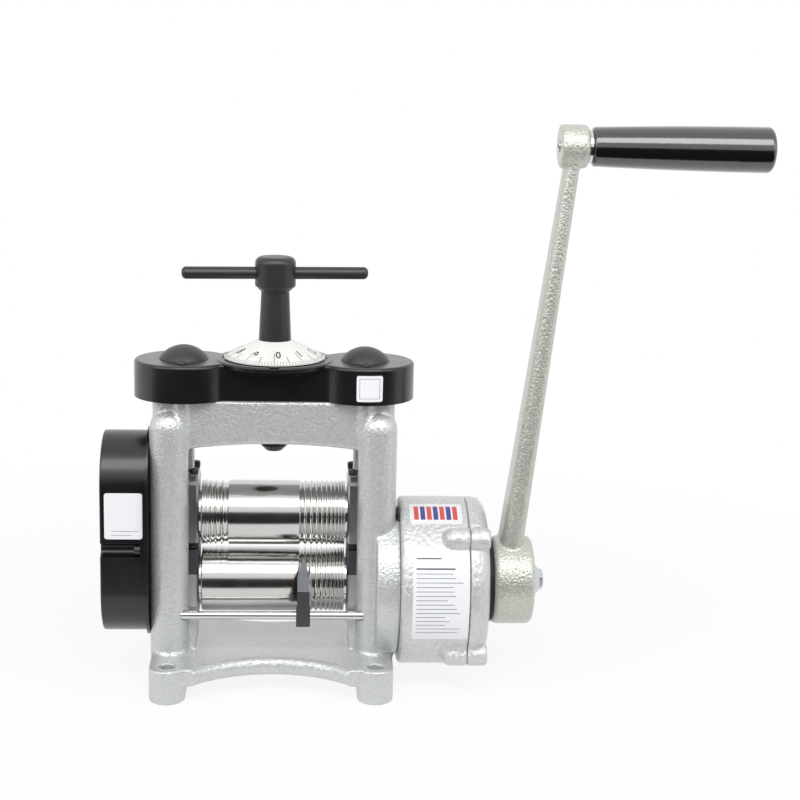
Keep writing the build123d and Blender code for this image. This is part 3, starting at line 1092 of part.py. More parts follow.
# ---------------------------------------------------------------- wire guide
def wire_guide():
    """Pointed guide that slides along a rod in front of the lower roll."""
    front = ROD_Y - ROD_RADIUS - GUIDE_FRONT_WALL
    back = ROD_Y + ROD_RADIUS + GUIDE_BACK_WALL
    face_y = front + GUIDE_THICKNESS
    tip_y = ROD_Y + GUIDE_TIP_BACK
    bottom = ROD_Z - GUIDE_BELOW_ROD
    collar = ROD_Z + GUIDE_COLLAR_ABOVE_ROD
    waist = ROD_Z + GUIDE_WAIST_ABOVE_ROD
    shoulder = ROD_Z + GUIDE_SHOULDER_ABOVE_ROD
    tip = ROD_Z + GUIDE_TIP_ABOVE_ROD
    bend = shoulder - GUIDE_WAIST_ABOVE_ROD
    side_view = make_face(Polyline(
        (back, bottom), (back, collar), (face_y, waist), (face_y, bend), (tip_y + GUIDE_TIP_THICKNESS, tip),
        (tip_y, tip), (front, bend), (front, bottom), close=True))
    body = Pos(GUIDE_X - GUIDE_WIDTH / 2, 0, 0) * extrude(Plane.YZ * side_view, GUIDE_WIDTH)
    half = GUIDE_WIDTH / 2
    neck = half - GUIDE_WAIST_INSET
    point = GUIDE_TIP_WIDTH / 2
    front_view = make_face(Polyline(
        (-half, bottom), (half, bottom), (half, collar), (neck, waist), (neck, shoulder), (point, tip),
        (-point, tip), (-neck, shoulder), (-neck, waist), (-half, collar), close=True))
    room = Pos(GUIDE_X, 0, 0) * Rot(90, 0, 0) * extrude(front_view, 2 * abs(front))
    hole = rod_x(ROD_RADIUS + RUNNING, GUIDE_X - half - PAST, GUIDE_X + half + PAST, ROD_Y, ROD_Z)
    return {
        "guide_rod": rod_x(ROD_RADIUS, -ROD_HALF_LENGTH, ROD_HALF_LENGTH, ROD_Y, ROD_Z),
        "wire_guide": (body & room) - hole,
    }


# ---------------------------------------------------------------- gearbox
def ear_places():
    """Where the gearbox cover is screwed on, as (y, z)."""
    return around_x(EAR_COUNT, EAR_CIRCLE_RADIUS, EAR_FIRST_ANGLE, LOWER_AXIS_Z)


def planet_places():
    """Centres of the planet gears, as (y, z)."""
    return around_x(PLANET_COUNT, PLANET_CIRCLE, PLANET_FIRST_ANGLE, LOWER_AXIS_Z)


def gearbox_housing():
    """Round casting bolted to the right housing, with an ear for each cover screw."""
    body = rod_x(GEARBOX_RADIUS, GEARBOX_FACE_X, GEARBOX_SEAM_X, 0, LOWER_AXIS_Z)
    body = fillet(body.faces().sort_by(Axis.X)[0].edges(), GEARBOX_EDGE)
    ear_x = GEARBOX_SEAM_X - EAR_LENGTH + EAR_RADIUS
    for y, z in ear_places():
        body += rod_x(EAR_RADIUS, ear_x, GEARBOX_SEAM_X, y, z)
        body += Pos(ear_x, y, z) * Sphere(EAR_RADIUS)
    cuts = [
        rod_x(GEARBOX_INNER_RADIUS, GEARBOX_BACK_X, GEARBOX_SEAM_X + PAST, 0, LOWER_AXIS_Z),
        rod_x(JOURNAL_RADIUS, GEARBOX_FACE_X - PAST, GEARBOX_BACK_X + PAST, 0, LOWER_AXIS_Z),
    ]
    for y, z in ear_places():
        cuts.append(rod_x(EAR_SCREW_RADIUS, GEARBOX_SEAM_X - EAR_SCREW_DEPTH, GEARBOX_SEAM_X + PAST, y, z))
    for y, z in flange_screw_places():
        cuts.append(rod_x(FLANGE_SCREW_RADIUS, GEARBOX_FACE_X - PAST, GEARBOX_BACK_X + PAST, y, z))
        cuts.append(rod_x(FLANGE_SCREW_RADIUS + FLANGE_SCREW_HEAD,
                          GEARBOX_BACK_X - FLANGE_SCREW_HEAD_HEIGHT, GEARBOX_BACK_X + PAST, y, z))
    return body - cuts


def gearbox_cover():
    """Rounded end cover that carries the input shaft's bush."""
    body = rod_x(GEARBOX_RADIUS, GEARBOX_SEAM_X, GEARBOX_END_X, 0, LOWER_AXIS_Z)
    body = fillet(body.faces().sort_by(Axis.X)[-1].edges(), GEARBOX_COVER_EDGE)
    for y, z in ear_places():
        ear = rod_x(EAR_RADIUS, GEARBOX_SEAM_X, GEARBOX_END_X, y, z)
        body += fillet(ear.faces().sort_by(Axis.X)[-1].edges(), EAR_EDGE)
    inside_x = GEARBOX_END_X - GEARBOX_COVER_WALL
    body -= rod_x(GEARBOX_RADIUS - GEARBOX_COVER_LIP, GEARBOX_SEAM_X - PAST, inside_x, 0, LOWER_AXIS_Z)
    body += rod_x(INPUT_BUSH_RADIUS + INPUT_BOSS_WALL, INPUT_BOSS_X, inside_x + PAST, 0, LOWER_AXIS_Z)
    cuts = [rod_x(INPUT_BUSH_RADIUS, INPUT_BOSS_X - PAST, GEARBOX_END_X + PAST, 0, LOWER_AXIS_Z)]
    sunk_radius = EAR_SCREW_RADIUS + EAR_SCREW_HEAD + EAR_SCREW_ROOM
    for y, z in ear_places():
        cuts.append(rod_x(EAR_SCREW_RADIUS, GEARBOX_SEAM_X - PAST, GEARBOX_END_X + PAST, y, z))
        cuts.append(rod_x(sunk_radius, GEARBOX_END_X - EAR_SCREW_SINK, GEARBOX_END_X + PAST, y, z))
    return body - cuts


def ring_gear():
    """Internal gear pressed into the housing."""
    module = COARSE_MODULE
    outline = gear_outline(RING_TEETH, module, DEDENDUM * module, module, -BACKLASH)
    hole = make_face(Polyline(*outline, close=True))
    plate = extrude(Circle(GEARBOX_INNER_RADIUS) - hole, PLANET_WIDTH + 2 * RING_OVERHANG)
    return gear_x(plate, PLANET_X - RING_OVERHANG, LOWER_AXIS_Z, PLANET_FIRST_ANGLE + 180.0 / RING_TEETH)


def planet_carrier():
    """Plate on the lower roll's shaft that carries the planet pins."""
    plate = rod_x(CARRIER_RADIUS, CARRIER_X, CARRIER_END_X, 0, LOWER_AXIS_Z)
    plate -= rod_x(OUTPUT_SHAFT_RADIUS, CARRIER_X - PAST, CARRIER_END_X + PAST, 0, LOWER_AXIS_Z)
    return plate - [rod_x(PLANET_PIN_RADIUS, CARRIER_X - PAST, CARRIER_END_X + PAST, y, z)
                    for y, z in planet_places()]


def planet_pins():
    """Headed pins that the planet gears turn on."""
    head_x = PLANET_END_X + END_PLAY
    end_x = head_x + PLANET_PIN_HEAD_HEIGHT
    return group([rod_x(PLANET_PIN_RADIUS, CARRIER_X, head_x, y, z)
                  + rod_x(PLANET_PIN_RADIUS + PLANET_PIN_HEAD, head_x, end_x, y, z)
                  for y, z in planet_places()])


def planet_gears():
    """The planets, each turned so that a tooth space faces the sun's tooth."""
    module = COARSE_MODULE
    outline = gear_outline(PLANET_TEETH, module, module, DEDENDUM * module, BACKLASH)
    planet = gear_plate(outline, PLANET_WIDTH)
    planet -= rod_z(PLANET_PIN_RADIUS + RUNNING, -PAST, PLANET_WIDTH + PAST)
    nodes = {}
    for index, (y, z) in enumerate(planet_places()):
        angle = PLANET_FIRST_ANGLE + 360.0 * index / PLANET_COUNT + 180.0 / PLANET_TEETH
        nodes[f"planet_gear_{index + 1}"] = gear_x(planet, PLANET_X, z, angle, y)
    return nodes


def gearbox():
    """Planetary reduction between the crank and the lower roll: ring fixed, carrier on the roll."""
    sunk_x = GEARBOX_END_X - EAR_SCREW_SINK
    ear_screws = [cap_screw_x(EAR_SCREW_RADIUS, sunk_x, sunk_x - GEARBOX_SEAM_X + EAR_SCREW_DEPTH, y, z,
                              EAR_SCREW_HEAD, EAR_SCREW_HEAD_HEIGHT) for y, z in ear_places()]
    seat_x = GEARBOX_BACK_X - FLANGE_SCREW_HEAD_HEIGHT
    flange_depth = seat_x - GEARBOX_FACE_X + FLANGE_SCREW_DEPTH
    flange_screws = [cap_screw_x(FLANGE_SCREW_RADIUS, seat_x, flange_depth, y, z, FLANGE_SCREW_HEAD,
                                 FLANGE_SCREW_HEAD_HEIGHT) for y, z in flange_screw_places()]
    return {
        "gearbox_housing": gearbox_housing(),
        "gearbox_cover": gearbox_cover(),
        "gearbox_cover_screws": group(ear_screws),
        "gearbox_flange_screws": group(flange_screws),
        "ring_gear": ring_gear(),
        "planet_carrier": planet_carrier(),
        "planet_pins": planet_pins(),
        **planet_gears(),
        **input_shaft(),
    }


def crank_keyway(x0, x1, below, above):
    """Bar where the key lies, between x0 and x1, reaching below and above the shaft's surface."""
    key_z = LOWER_AXIS_Z + INPUT_SHAFT_RADIUS
    return block(x0, x1, -KEY_WIDTH / 2, KEY_WIDTH / 2, key_z - below, key_z + above)


def input_shaft():
    """Shaft that the crank turns, with the sun gear cut on its inner end, its bush, seal and key."""
    module = COARSE_MODULE
    sun = gear_plate(gear_outline(SUN_TEETH, module, module, DEDENDUM * module, BACKLASH), PLANET_WIDTH)
    nose_x = OUTPUT_END_X - NOSE_LENGTH
    shaft = turned_x([
        (nose_x, 0), (nose_x, NOSE_RADIUS - NOSE_CHAMFER), (nose_x + NOSE_CHAMFER, NOSE_RADIUS),
        (PLANET_X, NOSE_RADIUS), (PLANET_X, INPUT_SHAFT_RADIUS), (SHAFT_END_X, INPUT_SHAFT_RADIUS),
        (SHAFT_END_X, 0),
    ], LOWER_AXIS_Z)
    shaft += gear_x(sun, PLANET_X, LOWER_AXIS_Z, PLANET_FIRST_ANGLE)
    key = crank_keyway(CRANK_HUB_X + KEY_SETBACK, SHAFT_END_X, KEY_HEIGHT / 2, KEY_HEIGHT / 2)
    shaft -= [key, rod_x(CRANK_BOLT_RADIUS, CRANK_HUB_END_X - CRANK_BOLT_DEPTH, CRANK_HUB_END_X,
                         0, LOWER_AXIS_Z)]
    return {
        "input_shaft": shaft,
        "crank_key": key,
        "input_bush": tube_x(INPUT_BUSH_RADIUS, INPUT_SHAFT_RADIUS + RUNNING, INPUT_BOSS_X, GEARBOX_END_X,
                             0, LOWER_AXIS_Z),
        "oil_seal": tube_x(SEAL_RADIUS, INPUT_SHAFT_RADIUS + RUNNING, GEARBOX_END_X,
                           GEARBOX_END_X + SEAL_WIDTH, 0, LOWER_AXIS_Z),
    }


# ---------------------------------------------------------------- crank and handle
def crank_arm():
    """Cast crank: a thick hub, an arm that leans outwards and an eye for the handle."""
    hub = rod_x(CRANK_HUB_RADIUS, CRANK_HUB_X, CRANK_HUB_END_X, 0, LOWER_AXIS_Z)
    hub = fillet(hub.edges().filter_by(GeomType.CIRCLE), CRANK_HUB_EDGE)
    foot_section = Plane(origin=(CRANK_HUB_X + ARM_FOOT_IN, 0, LOWER_AXIS_Z)) * RectangleRounded(
        ARM_FOOT_THICKNESS, ARM_FOOT_WIDTH, ARM_FOOT_CORNER)
    head_section = Plane(origin=(CRANK_EYE_X + ARM_HEAD_IN, 0, CRANK_EYE_Z)) * RectangleRounded(
        ARM_HEAD_THICKNESS, ARM_HEAD_WIDTH, ARM_HEAD_CORNER)
    arm = loft([foot_section, head_section], ruled=True)
    eye = rod_x(CRANK_EYE_RADIUS, CRANK_EYE_X, CRANK_EYE_END_X, 0, CRANK_EYE_Z)
    eye_rims = eye.edges().filter_by(GeomType.CIRCLE).sort_by(Axis.X)
    eye = fillet(eye_rims[0], CRANK_EYE_EDGE)
    eye = fillet(eye.edges().filter_by(GeomType.CIRCLE).sort_by(Axis.X)[-1], CRANK_EYE_END_EDGE)
    return (hub + arm + eye) - [
        rod_x(INPUT_SHAFT_RADIUS, CRANK_HUB_X - PAST, CRANK_HUB_END_X + PAST, 0, LOWER_AXIS_Z),
        crank_keyway(CRANK_HUB_X - PAST, CRANK_HUB_END_X + PAST, INPUT_SHAFT_RADIUS, KEY_HEIGHT / 2),
        rod_x(HANDLE_SPINDLE_RADIUS, HANDLE_THREAD_X, CRANK_EYE_END_X + PAST, 0, CRANK_EYE_Z),
        rod_x(EYE_SCREW_RADIUS, CRANK_EYE_X - PAST, HANDLE_THREAD_X + PAST, 0, CRANK_EYE_Z),
    ]


def handle():
    """The spindle screwed into the crank's eye and the grip that turns on it."""
    cap_x = GRIP_END_X - GRIP_CAP_LENGTH
    pocket_x = cap_x - GRIP_POCKET_DEPTH
    head_x = pocket_x + END_PLAY
    spindle = rod_x(HANDLE_SPINDLE_RADIUS, HANDLE_THREAD_X, head_x, 0, CRANK_EYE_Z)
    spindle += rod_x(SPINDLE_HEAD_RADIUS, head_x, head_x + SPINDLE_HEAD_HEIGHT, 0, CRANK_EYE_Z)
    bore = HANDLE_SPINDLE_RADIUS + RUNNING
    start, end = (GRIP_X, 0, GRIP_START_RADIUS), (GRIP_END_X, 0, GRIP_END_RADIUS)
    middle = ((GRIP_X + GRIP_END_X) / 2, 0, GRIP_MIDDLE_RADIUS)
    half_section = [
        Line((GRIP_X, 0, bore), start), ThreePointArc(start, middle, end), Line(end, (GRIP_END_X, 0, bore)),
        Line((GRIP_END_X, 0, bore), (GRIP_X, 0, bore)),
    ]
    grip = Pos(0, 0, CRANK_EYE_Z) * revolve(make_face([part.edge() for part in half_section]), Axis.X, 360)
    for end_face, edge_radius in ((0, GRIP_EDGE), (-1, GRIP_END_EDGE)):
        face = grip.faces().filter_by(Axis.X).sort_by(Axis.X)[end_face]
        grip = fillet(face.edges().sort_by(SortBy.RADIUS)[-1], edge_radius)
    grip -= [rod_x(SPINDLE_HEAD_RADIUS + END_PLAY, pocket_x, GRIP_END_X + PAST, 0, CRANK_EYE_Z),
             rod_x(GRIP_CAP_RADIUS, cap_x, GRIP_END_X + PAST, 0, CRANK_EYE_Z)]
    screw = rod_x(EYE_SCREW_RADIUS, CRANK_EYE_X - EYE_SCREW_PROUD, HANDLE_THREAD_X, 0, CRANK_EYE_Z)
    socket_end = CRANK_EYE_X - EYE_SCREW_PROUD + EYE_SCREW_SOCKET
    return {
        "handle_spindle": spindle,
        "handle_collar": tube_x(COLLAR_RADIUS, HANDLE_SPINDLE_RADIUS, CRANK_EYE_END_X,
                                CRANK_EYE_END_X + COLLAR_LENGTH, 0, CRANK_EYE_Z),
        "handle_screw": screw - hexagon_x(EYE_SCREW_RADIUS, CRANK_EYE_X - EYE_SCREW_PROUD - PAST,
                                          socket_end, 0, CRANK_EYE_Z),
        "handle_grip": grip,
        "grip_end_cap": rod_x(GRIP_CAP_RADIUS, cap_x, GRIP_END_X, 0, CRANK_EYE_Z),
    }


def crank():
    """Crank arm with the washer and bolt that hold it on its shaft."""
    head_x = CRANK_HUB_END_X + WASHER_THICKNESS
    washer = turned_x([
        (CRANK_HUB_END_X, CRANK_BOLT_RADIUS), (CRANK_HUB_END_X, WASHER_RADIUS),
        (CRANK_HUB_END_X + WASHER_RIM, WASHER_RADIUS), (head_x, WASHER_TOP_RADIUS),
        (head_x, CRANK_BOLT_RADIUS)], LOWER_AXIS_Z)
    bolt = rod_x(CRANK_BOLT_RADIUS, CRANK_HUB_END_X - CRANK_BOLT_DEPTH, head_x, 0, LOWER_AXIS_Z)
    end_x = head_x + CRANK_BOLT_HEAD_HEIGHT
    corner = CRANK_BOLT_ACROSS / math.sqrt(3)
    bolt += hexagon_x(CRANK_BOLT_ACROSS, head_x, end_x, 0, LOWER_AXIS_Z) & turned_x([
        (head_x, 0), (head_x, corner), (end_x - CRANK_BOLT_CHAMFER, corner),
        (end_x, corner - 2 * CRANK_BOLT_CHAMFER), (end_x, 0)], LOWER_AXIS_Z)
    return {"crank_arm": crank_arm(), "crank_washer": washer, "crank_bolt": bolt, **handle()}


# ---------------------------------------------------------------- the whole mill
def mill():
    """Every node of the mill by name."""
    nodes = {"frame_casting": frame_casting()}
    for part_set in (rolls(), bearings(), screw_train(), thickness_control(), cover_set(), gear_guard(),
                     wire_guide(), gearbox(), crank()):
        nodes.update(part_set)
    return nodes


os.makedirs("parts", exist_ok=True)
for node, shape in mill().items():
    export_step(shape, os.path.join("parts", f"{node}.step"))
print(f"closed gap lowers the upper roll {LIFT_DOWN:.2f} mm, open gap lifts it {LIFT_UP:.2f} mm")
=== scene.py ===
"""Looks of a hand-cranked jewellers' rolling mill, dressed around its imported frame.

Blender works in metres, in the part's own frame: +Z is up, the rolls lie along X, the crank is at
+X and the operator stands at -Y. Sizes in the classes below are in millimetres.
"""
import json
import logging
import math
import random
from dataclasses import dataclass
from enum import Enum
from typing import Iterable, Optional, Sequence

import bmesh
import bpy
from bpy.types import Material, Mesh, Node, NodeSocket, NodeTree, Object
from mathutils import Matrix, Vector

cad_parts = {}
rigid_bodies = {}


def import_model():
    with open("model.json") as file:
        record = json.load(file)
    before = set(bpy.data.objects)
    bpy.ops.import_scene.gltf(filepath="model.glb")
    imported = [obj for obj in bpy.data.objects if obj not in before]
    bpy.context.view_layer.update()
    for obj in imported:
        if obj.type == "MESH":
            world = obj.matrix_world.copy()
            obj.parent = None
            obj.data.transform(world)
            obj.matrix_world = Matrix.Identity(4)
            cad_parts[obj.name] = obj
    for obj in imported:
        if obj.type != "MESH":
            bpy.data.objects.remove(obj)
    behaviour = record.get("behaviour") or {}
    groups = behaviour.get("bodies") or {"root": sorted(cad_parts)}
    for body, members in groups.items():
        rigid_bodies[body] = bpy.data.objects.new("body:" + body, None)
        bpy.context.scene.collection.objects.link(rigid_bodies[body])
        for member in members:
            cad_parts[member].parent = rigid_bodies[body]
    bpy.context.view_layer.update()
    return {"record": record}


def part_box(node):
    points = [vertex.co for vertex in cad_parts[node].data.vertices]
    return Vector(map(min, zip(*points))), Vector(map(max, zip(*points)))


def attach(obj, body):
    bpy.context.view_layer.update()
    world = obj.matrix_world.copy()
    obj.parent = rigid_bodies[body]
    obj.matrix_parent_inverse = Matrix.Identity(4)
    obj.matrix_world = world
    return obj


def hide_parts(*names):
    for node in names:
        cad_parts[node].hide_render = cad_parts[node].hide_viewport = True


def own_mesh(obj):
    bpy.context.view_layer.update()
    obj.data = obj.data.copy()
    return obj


MM = 0.001
LOG = logging.getLogger("mill")
Point = tuple[float, float]


class Body(str, Enum):
    """Moving bodies of the frame that a piece can ride on."""

    FRAME = "frame"
    CRANK = "crank"
    GRIP = "grip"
    LOWER_ROLL = "lower_roll"
    UPPER_ROLL = "upper_roll"
    CARRIAGE = "carriage"
    T_HANDLE = "t_handle"


class Slot(str, Enum):
    """Material slots of the record."""

    FRAME_PAINT = "frame_paint"
    GEARBOX_PAINT = "gearbox_paint"
    CRANK_PAINT = "crank_paint"
    ROLL_STEEL = "roll_steel"
    GROUND_STEEL = "ground_steel"
    DARK_STEEL = "dark_steel"
    BRONZE = "bronze"
    SPRING_STEEL = "spring_steel"
    SCREW_STEEL = "screw_steel"
    GEAR_STEEL = "gear_steel"
    ZINC_STEEL = "zinc_steel"
    BRIGHT_STEEL = "bright_steel"
    BLACK_OXIDE_STEEL = "black_oxide_steel"
    COVER_PLASTIC = "cover_plastic"
    DOME_PLASTIC = "dome_plastic"
    DIAL_ENAMEL = "dial_enamel"
    SEAL_RUBBER = "seal_rubber"
    GRIP_PLASTIC = "grip_plastic"


class Along(Enum):
    """Axis that something is turned about or wrapped round."""

    X = "x"
    Z = "z"


# ---------------------------------------------------------------- colours, nodes and trees
def linear(colour: str) -> tuple[float, float, float, float]:
    """Turns an sRGB hex colour into Blender's linear one.

    Args:
        colour: Six hex digits after a hash.

    Returns:
        Red, green, blue and an alpha of 1.
    """
    parts = [int(colour[i:i + 2], 16) / 255 for i in (1, 3, 5)]
    red, green, blue = (p / 12.92 if p <= 0.04045 else ((p + 0.055) / 1.055) ** 2.4 for p in parts)
    return red, green, blue, 1.0


def add_node(tree: NodeTree, kind: str, inputs: Optional[dict] = None, **settings) -> Node:
    """Adds a node to a tree.

    Args:
        tree: Shader or geometry tree that the node goes into.
        kind: Blender's name of the node's class.
        inputs: Socket name or index to a value, or to the output that it is linked from.
        settings: The node's own properties.

    Returns:
        The node.
    """
    node = tree.nodes.new(kind)
    for name, value in settings.items():
        setattr(node, name, value)
    for key, value in (inputs or {}).items():
        if isinstance(value, NodeSocket):
            tree.links.new(value, node.inputs[key])
        else:
            node.inputs[key].default_value = value
    return node


def calc(tree: NodeTree, operation: str, *values: object) -> NodeSocket:
    """Adds a math node, and gives its result."""
    return add_node(tree, "ShaderNodeMath", dict(enumerate(values)), operation=operation).outputs[0]


# ---------------------------------------------------------------- finishes
@dataclass(frozen=True)
class Surface:
    """What a finish adds nodes to: a material's tree and shader, the place on the piece, the normal."""

    tree: NodeTree
    shader: Node
    place: NodeSocket
    normal: Optional[NodeSocket]

    def noise(self, size: float, detail: float, place: Optional[NodeSocket] = None) -> Node:
        """Adds a noise of a size in millimetres, over the piece or over another place."""
        return add_node(self.tree, "ShaderNodeTexNoise", {
            "Vector": self.place if place is None else place, "Scale": 1 / (size * MM), "Detail": detail})

    def relief(self, height: NodeSocket, depth: float) -> None:
        """Gives the surface a relief, from a height of 0 to 1 and a depth in millimetres."""
        inputs = {"Height": height, "Distance": depth * MM, "Strength": 1.0}
        if self.normal is not None:
            inputs["Normal"] = self.normal
        bump = add_node(self.tree, "ShaderNodeBump", inputs)
        self.tree.links.new(bump.outputs[0], self.shader.inputs["Normal"])

    def uneven_gloss(self, noise: Node, roughness: float, amount: float) -> None:
        """Lets the roughness go up and down by an amount with a noise."""
        gloss = add_node(self.tree, "ShaderNodeMapRange", {
            "Value": noise.outputs[0], "From Min": 0.3, "From Max": 0.7,
            "To Min": roughness - amount, "To Max": roughness + amount})
        self.tree.links.new(gloss.outputs[0], self.shader.inputs["Roughness"])


@dataclass(frozen=True)
class Finish:
    """The shader's own values, and the texture that a kind of finish adds to them."""

    name: str
    colour: str
    roughness: float
    metallic: float = 0.0
    coat: float = 0.0
    coat_roughness: float = 0.12
    eased_edge: float = 0.0
    specular: float = 0.5

    def material(self) -> Material:
        """Makes the material once, and gives the same one after that."""
        found = bpy.data.materials.get(self.name)
        if found:
            return found
        material = bpy.data.materials.new(self.name)
        material.use_nodes = True
        tree = material.node_tree
        shader = tree.nodes["Principled BSDF"]
        values = {"Base Color": linear(self.colour), "Roughness": self.roughness, "Metallic": self.metallic,
                  "Specular IOR Level": self.specular, "Coat Weight": self.coat,
                  "Coat Roughness": self.coat_roughness}
        for socket, value in values.items():
            shader.inputs[socket].default_value = value
        place = add_node(tree, "ShaderNodeTexCoord").outputs["Object"]
        normal = None
        if self.eased_edge:
            normal = add_node(tree, "ShaderNodeBevel", {"Radius": self.eased_edge * MM}, samples=4).outputs[0]
            tree.links.new(normal, shader.inputs["Normal"])
        self.texture(Surface(tree, shader, place, normal))
        return material

    def texture(self, surface: Surface) -> None:
        """Adds what this kind of finish shows close up; the plain one adds nothing."""


@dataclass(frozen=True)
class HammertonePaint(Finish):
    """Aluminium-flake hammer paint on cast iron: small domes with pits between, a grain of flakes, a random
    cloudy tone, and painted shade darkening the pits.
    """

    pit_colour: str = "#8f9496"
    cell: float = 1.9
    stretch: tuple[float, float, float] = (1.0, 1.0, 1.0)
    depth: float = 0.16
    flake: float = 0.45
    flake_height: float = 0.35
    flake_gloss: float = 0.1
    cloud: float = 35.0
    cloud_shade: float = 0.25
    pit_shade: float = 0.55
    warp: float = 0.8

    def texture(self, surface: Surface) -> None:
        """Adds the domes, the pits with painted shade in their colour, the cloudy tone and the flakes."""
        tree, place = surface.tree, surface.place
        drift = add_node(tree, "ShaderNodeTexNoise",
                         {"Vector": place, "Scale": 0.4 / (self.cell * MM), "Detail": 1.0})
        pull = add_node(tree, "ShaderNodeVectorMath",
                        {0: drift.outputs["Color"], "Scale": self.warp * self.cell * MM}, operation="SCALE")
        moved = add_node(tree, "ShaderNodeVectorMath", {0: place, 1: pull.outputs[0]}, operation="ADD")
        drawn = add_node(tree, "ShaderNodeMapping", {"Vector": moved.outputs[0], "Scale": self.stretch})
        cells = add_node(tree, "ShaderNodeTexVoronoi",
                         {"Vector": drawn.outputs[0], "Scale": 1 / (self.cell * MM), "Smoothness": 0.6},
                         feature="SMOOTH_F1").outputs["Distance"]
        flakes, clouds = surface.noise(self.flake, 2.0), surface.noise(self.cloud, 2.0)
        height = calc(tree, "MULTIPLY_ADD", cells, -1.0, 1.0)
        surface.relief(calc(tree, "MULTIPLY_ADD", flakes.outputs[0], self.flake_height, height), self.depth)
        # Painted shade: the pits between the domes are mixed towards the darker colour, as if shaded; the
        # clouds add a random tone to the same mix.
        painted_pit_shade = add_node(tree, "ShaderNodeMapRange",
                        {"Value": cells, "From Min": 0.35, "From Max": 0.95, "To Max": self.pit_shade})
        shade = calc(tree, "MULTIPLY_ADD", clouds.outputs[0], self.cloud_shade, painted_pit_shade.outputs[0])
        colours = {6: linear(self.colour), 7: linear(self.pit_colour)}
        mixed = add_node(tree, "ShaderNodeMix", {0: shade, **colours}, data_type="RGBA")
        tree.links.new(mixed.outputs[2], surface.shader.inputs["Base Color"])
        surface.uneven_gloss(flakes, self.roughness, self.flake_gloss)


@dataclass(frozen=True)
class CutSteel(Finish):
    """Turned, ground or drawn metal: fine parallel lines across one axis, and faint smudges."""

    line: float = 0.3
    across: tuple[float, float, float] = (1.0, 0.0, 0.0)
    depth: float = 0.004
    smudge: float = 14.0
    smudge_amount: float = 0.05

    def texture(self, surface: Surface) -> None:
        """Adds the tool's lines and the smudges."""
        flat = add_node(surface.tree, "ShaderNodeVectorMath", {0: surface.place, 1: self.across},
                        operation="MULTIPLY")
        surface.relief(surface.noise(self.line, 3.0, flat.outputs[0]).outputs[0], self.depth)
        surface.uneven_gloss(surface.noise(self.smudge, 4.0), self.roughness, self.smudge_amount)


@dataclass(frozen=True)
class MouldedSurface(Finish):
    """Moulded, enamelled or rubber surface: an even fine grain, and a little unevenness of gloss."""

    grain: float = 0.5
    depth: float = 0.01
    patch: float = 22.0
    patch_amount: float = 0.04

    def texture(self, surface: Surface) -> None:
        """Adds the grain and the uneven gloss."""
        surface.relief(surface.noise(self.grain, 2.0).outputs[0], self.depth)
        surface.uneven_gloss(surface.noise(self.patch, 3.0), self.roughness, self.patch_amount)


# Hammer paint dries into domes of about 2 mm that glint one by one: light silver on the frame, with painted
# shade darkening the pits between the domes.
SILVER_HAMMERTONE = HammertonePaint("silver_hammertone_on_cast_iron", "#d3d5d5", 0.34, 0.45, 0.3, 0.2,
                                    pit_colour="#bcbfbf", cell=2.0, depth=0.42)
# The gearbox has a thicker coat of it, which wrinkles into longer, deeper cells.
GEARBOX_HAMMERTONE = HammertonePaint("silver_hammertone_on_gearbox", "#d6d8d7", 0.32, 0.45, 0.3, 0.18,
                                     pit_colour="#bec1c0", cell=2.8, stretch=(1.0, 1.0, 0.62), depth=0.8)
# The crank is a greyer green batch of the same paint.
CRANK_HAMMERTONE = HammertonePaint("grey_hammertone_on_crank", "#cbcdc4", 0.32, 0.5, 0.3, 0.18,
                                   pit_colour="#aeb1a7", cell=2.0, depth=0.45)
# Hardened roll steel, ground and polished to a mirror that is drawn out sideways by the grinding.
ROLL_STEEL = CutSteel("polished_roll_steel", "#cfcecc", 0.16, 1.0, line=0.35, depth=0.003, smudge_amount=0.03)
# Surface-ground carbon steel is pale and satin, with its lines across the block.
GROUND_STEEL = CutSteel("surface_ground_steel", "#bcbebd", 0.34, 1.0, eased_edge=0.5, line=0.5,
                        across=(0.2, 0.2, 1.0), depth=0.006)
# Blackened steel of the keepers and the guide is a dull dark grey.
DARK_STEEL = CutSteel("blackened_steel", "#55585b", 0.42, 0.9, eased_edge=0.4, line=0.6,
                      across=(1.0, 0.2, 0.2), depth=0.006)
# Sintered bronze is a warm dull yellow.
BRONZE = CutSteel("bearing_bronze", "#b08a4e", 0.38, 1.0, eased_edge=0.3, line=0.4, depth=0.004)
# Drawn spring wire is dark and smooth.
SPRING_STEEL = CutSteel("drawn_spring_wire", "#6d6f72", 0.3, 1.0, line=0.5, depth=0.002)
# Bright-turned medium carbon steel.
SCREW_STEEL = CutSteel("turned_steel", "#a9abab", 0.28, 1.0, eased_edge=0.3, line=0.4,
                       across=(0.1, 0.1, 1.0), depth=0.004)
# Gear steel is hobbed and oiled.
GEAR_STEEL = CutSteel("hobbed_gear_steel", "#8e9092", 0.32, 1.0, eased_edge=0.3, line=0.5, depth=0.006)
# Zinc plate on steel is bright and slightly blue.
ZINC_STEEL = CutSteel("zinc_plated_steel", "#cfd3d6", 0.16, 1.0, eased_edge=0.4, line=0.6, depth=0.003)
# Drawn and polished bright steel bar, nearly a mirror.
BRIGHT_STEEL = CutSteel("polished_bright_steel", "#dadada", 0.1, 1.0, eased_edge=0.3, line=0.6, depth=0.0015)
# Chemical black on steel is charcoal with a soft sheen.
BLACK_OXIDE = CutSteel("black_oxide_on_steel", "#3d3f41", 0.36, 0.55, eased_edge=0.6, line=0.8,
                       across=(0.3, 0.3, 1.0), depth=0.004)
# Moulded ABS with a satin skin.
COVER_PLASTIC = MouldedSurface("satin_black_abs", "#121315", 0.3, coat=0.3, coat_roughness=0.2,
                               eased_edge=0.5, grain=0.6, depth=0.012)
# The domed caps are of a softer and greyer polyethylene.
DOME_PLASTIC = MouldedSurface("satin_black_polyethylene", "#343638", 0.38, eased_edge=0.4,
                              grain=0.5, depth=0.008)
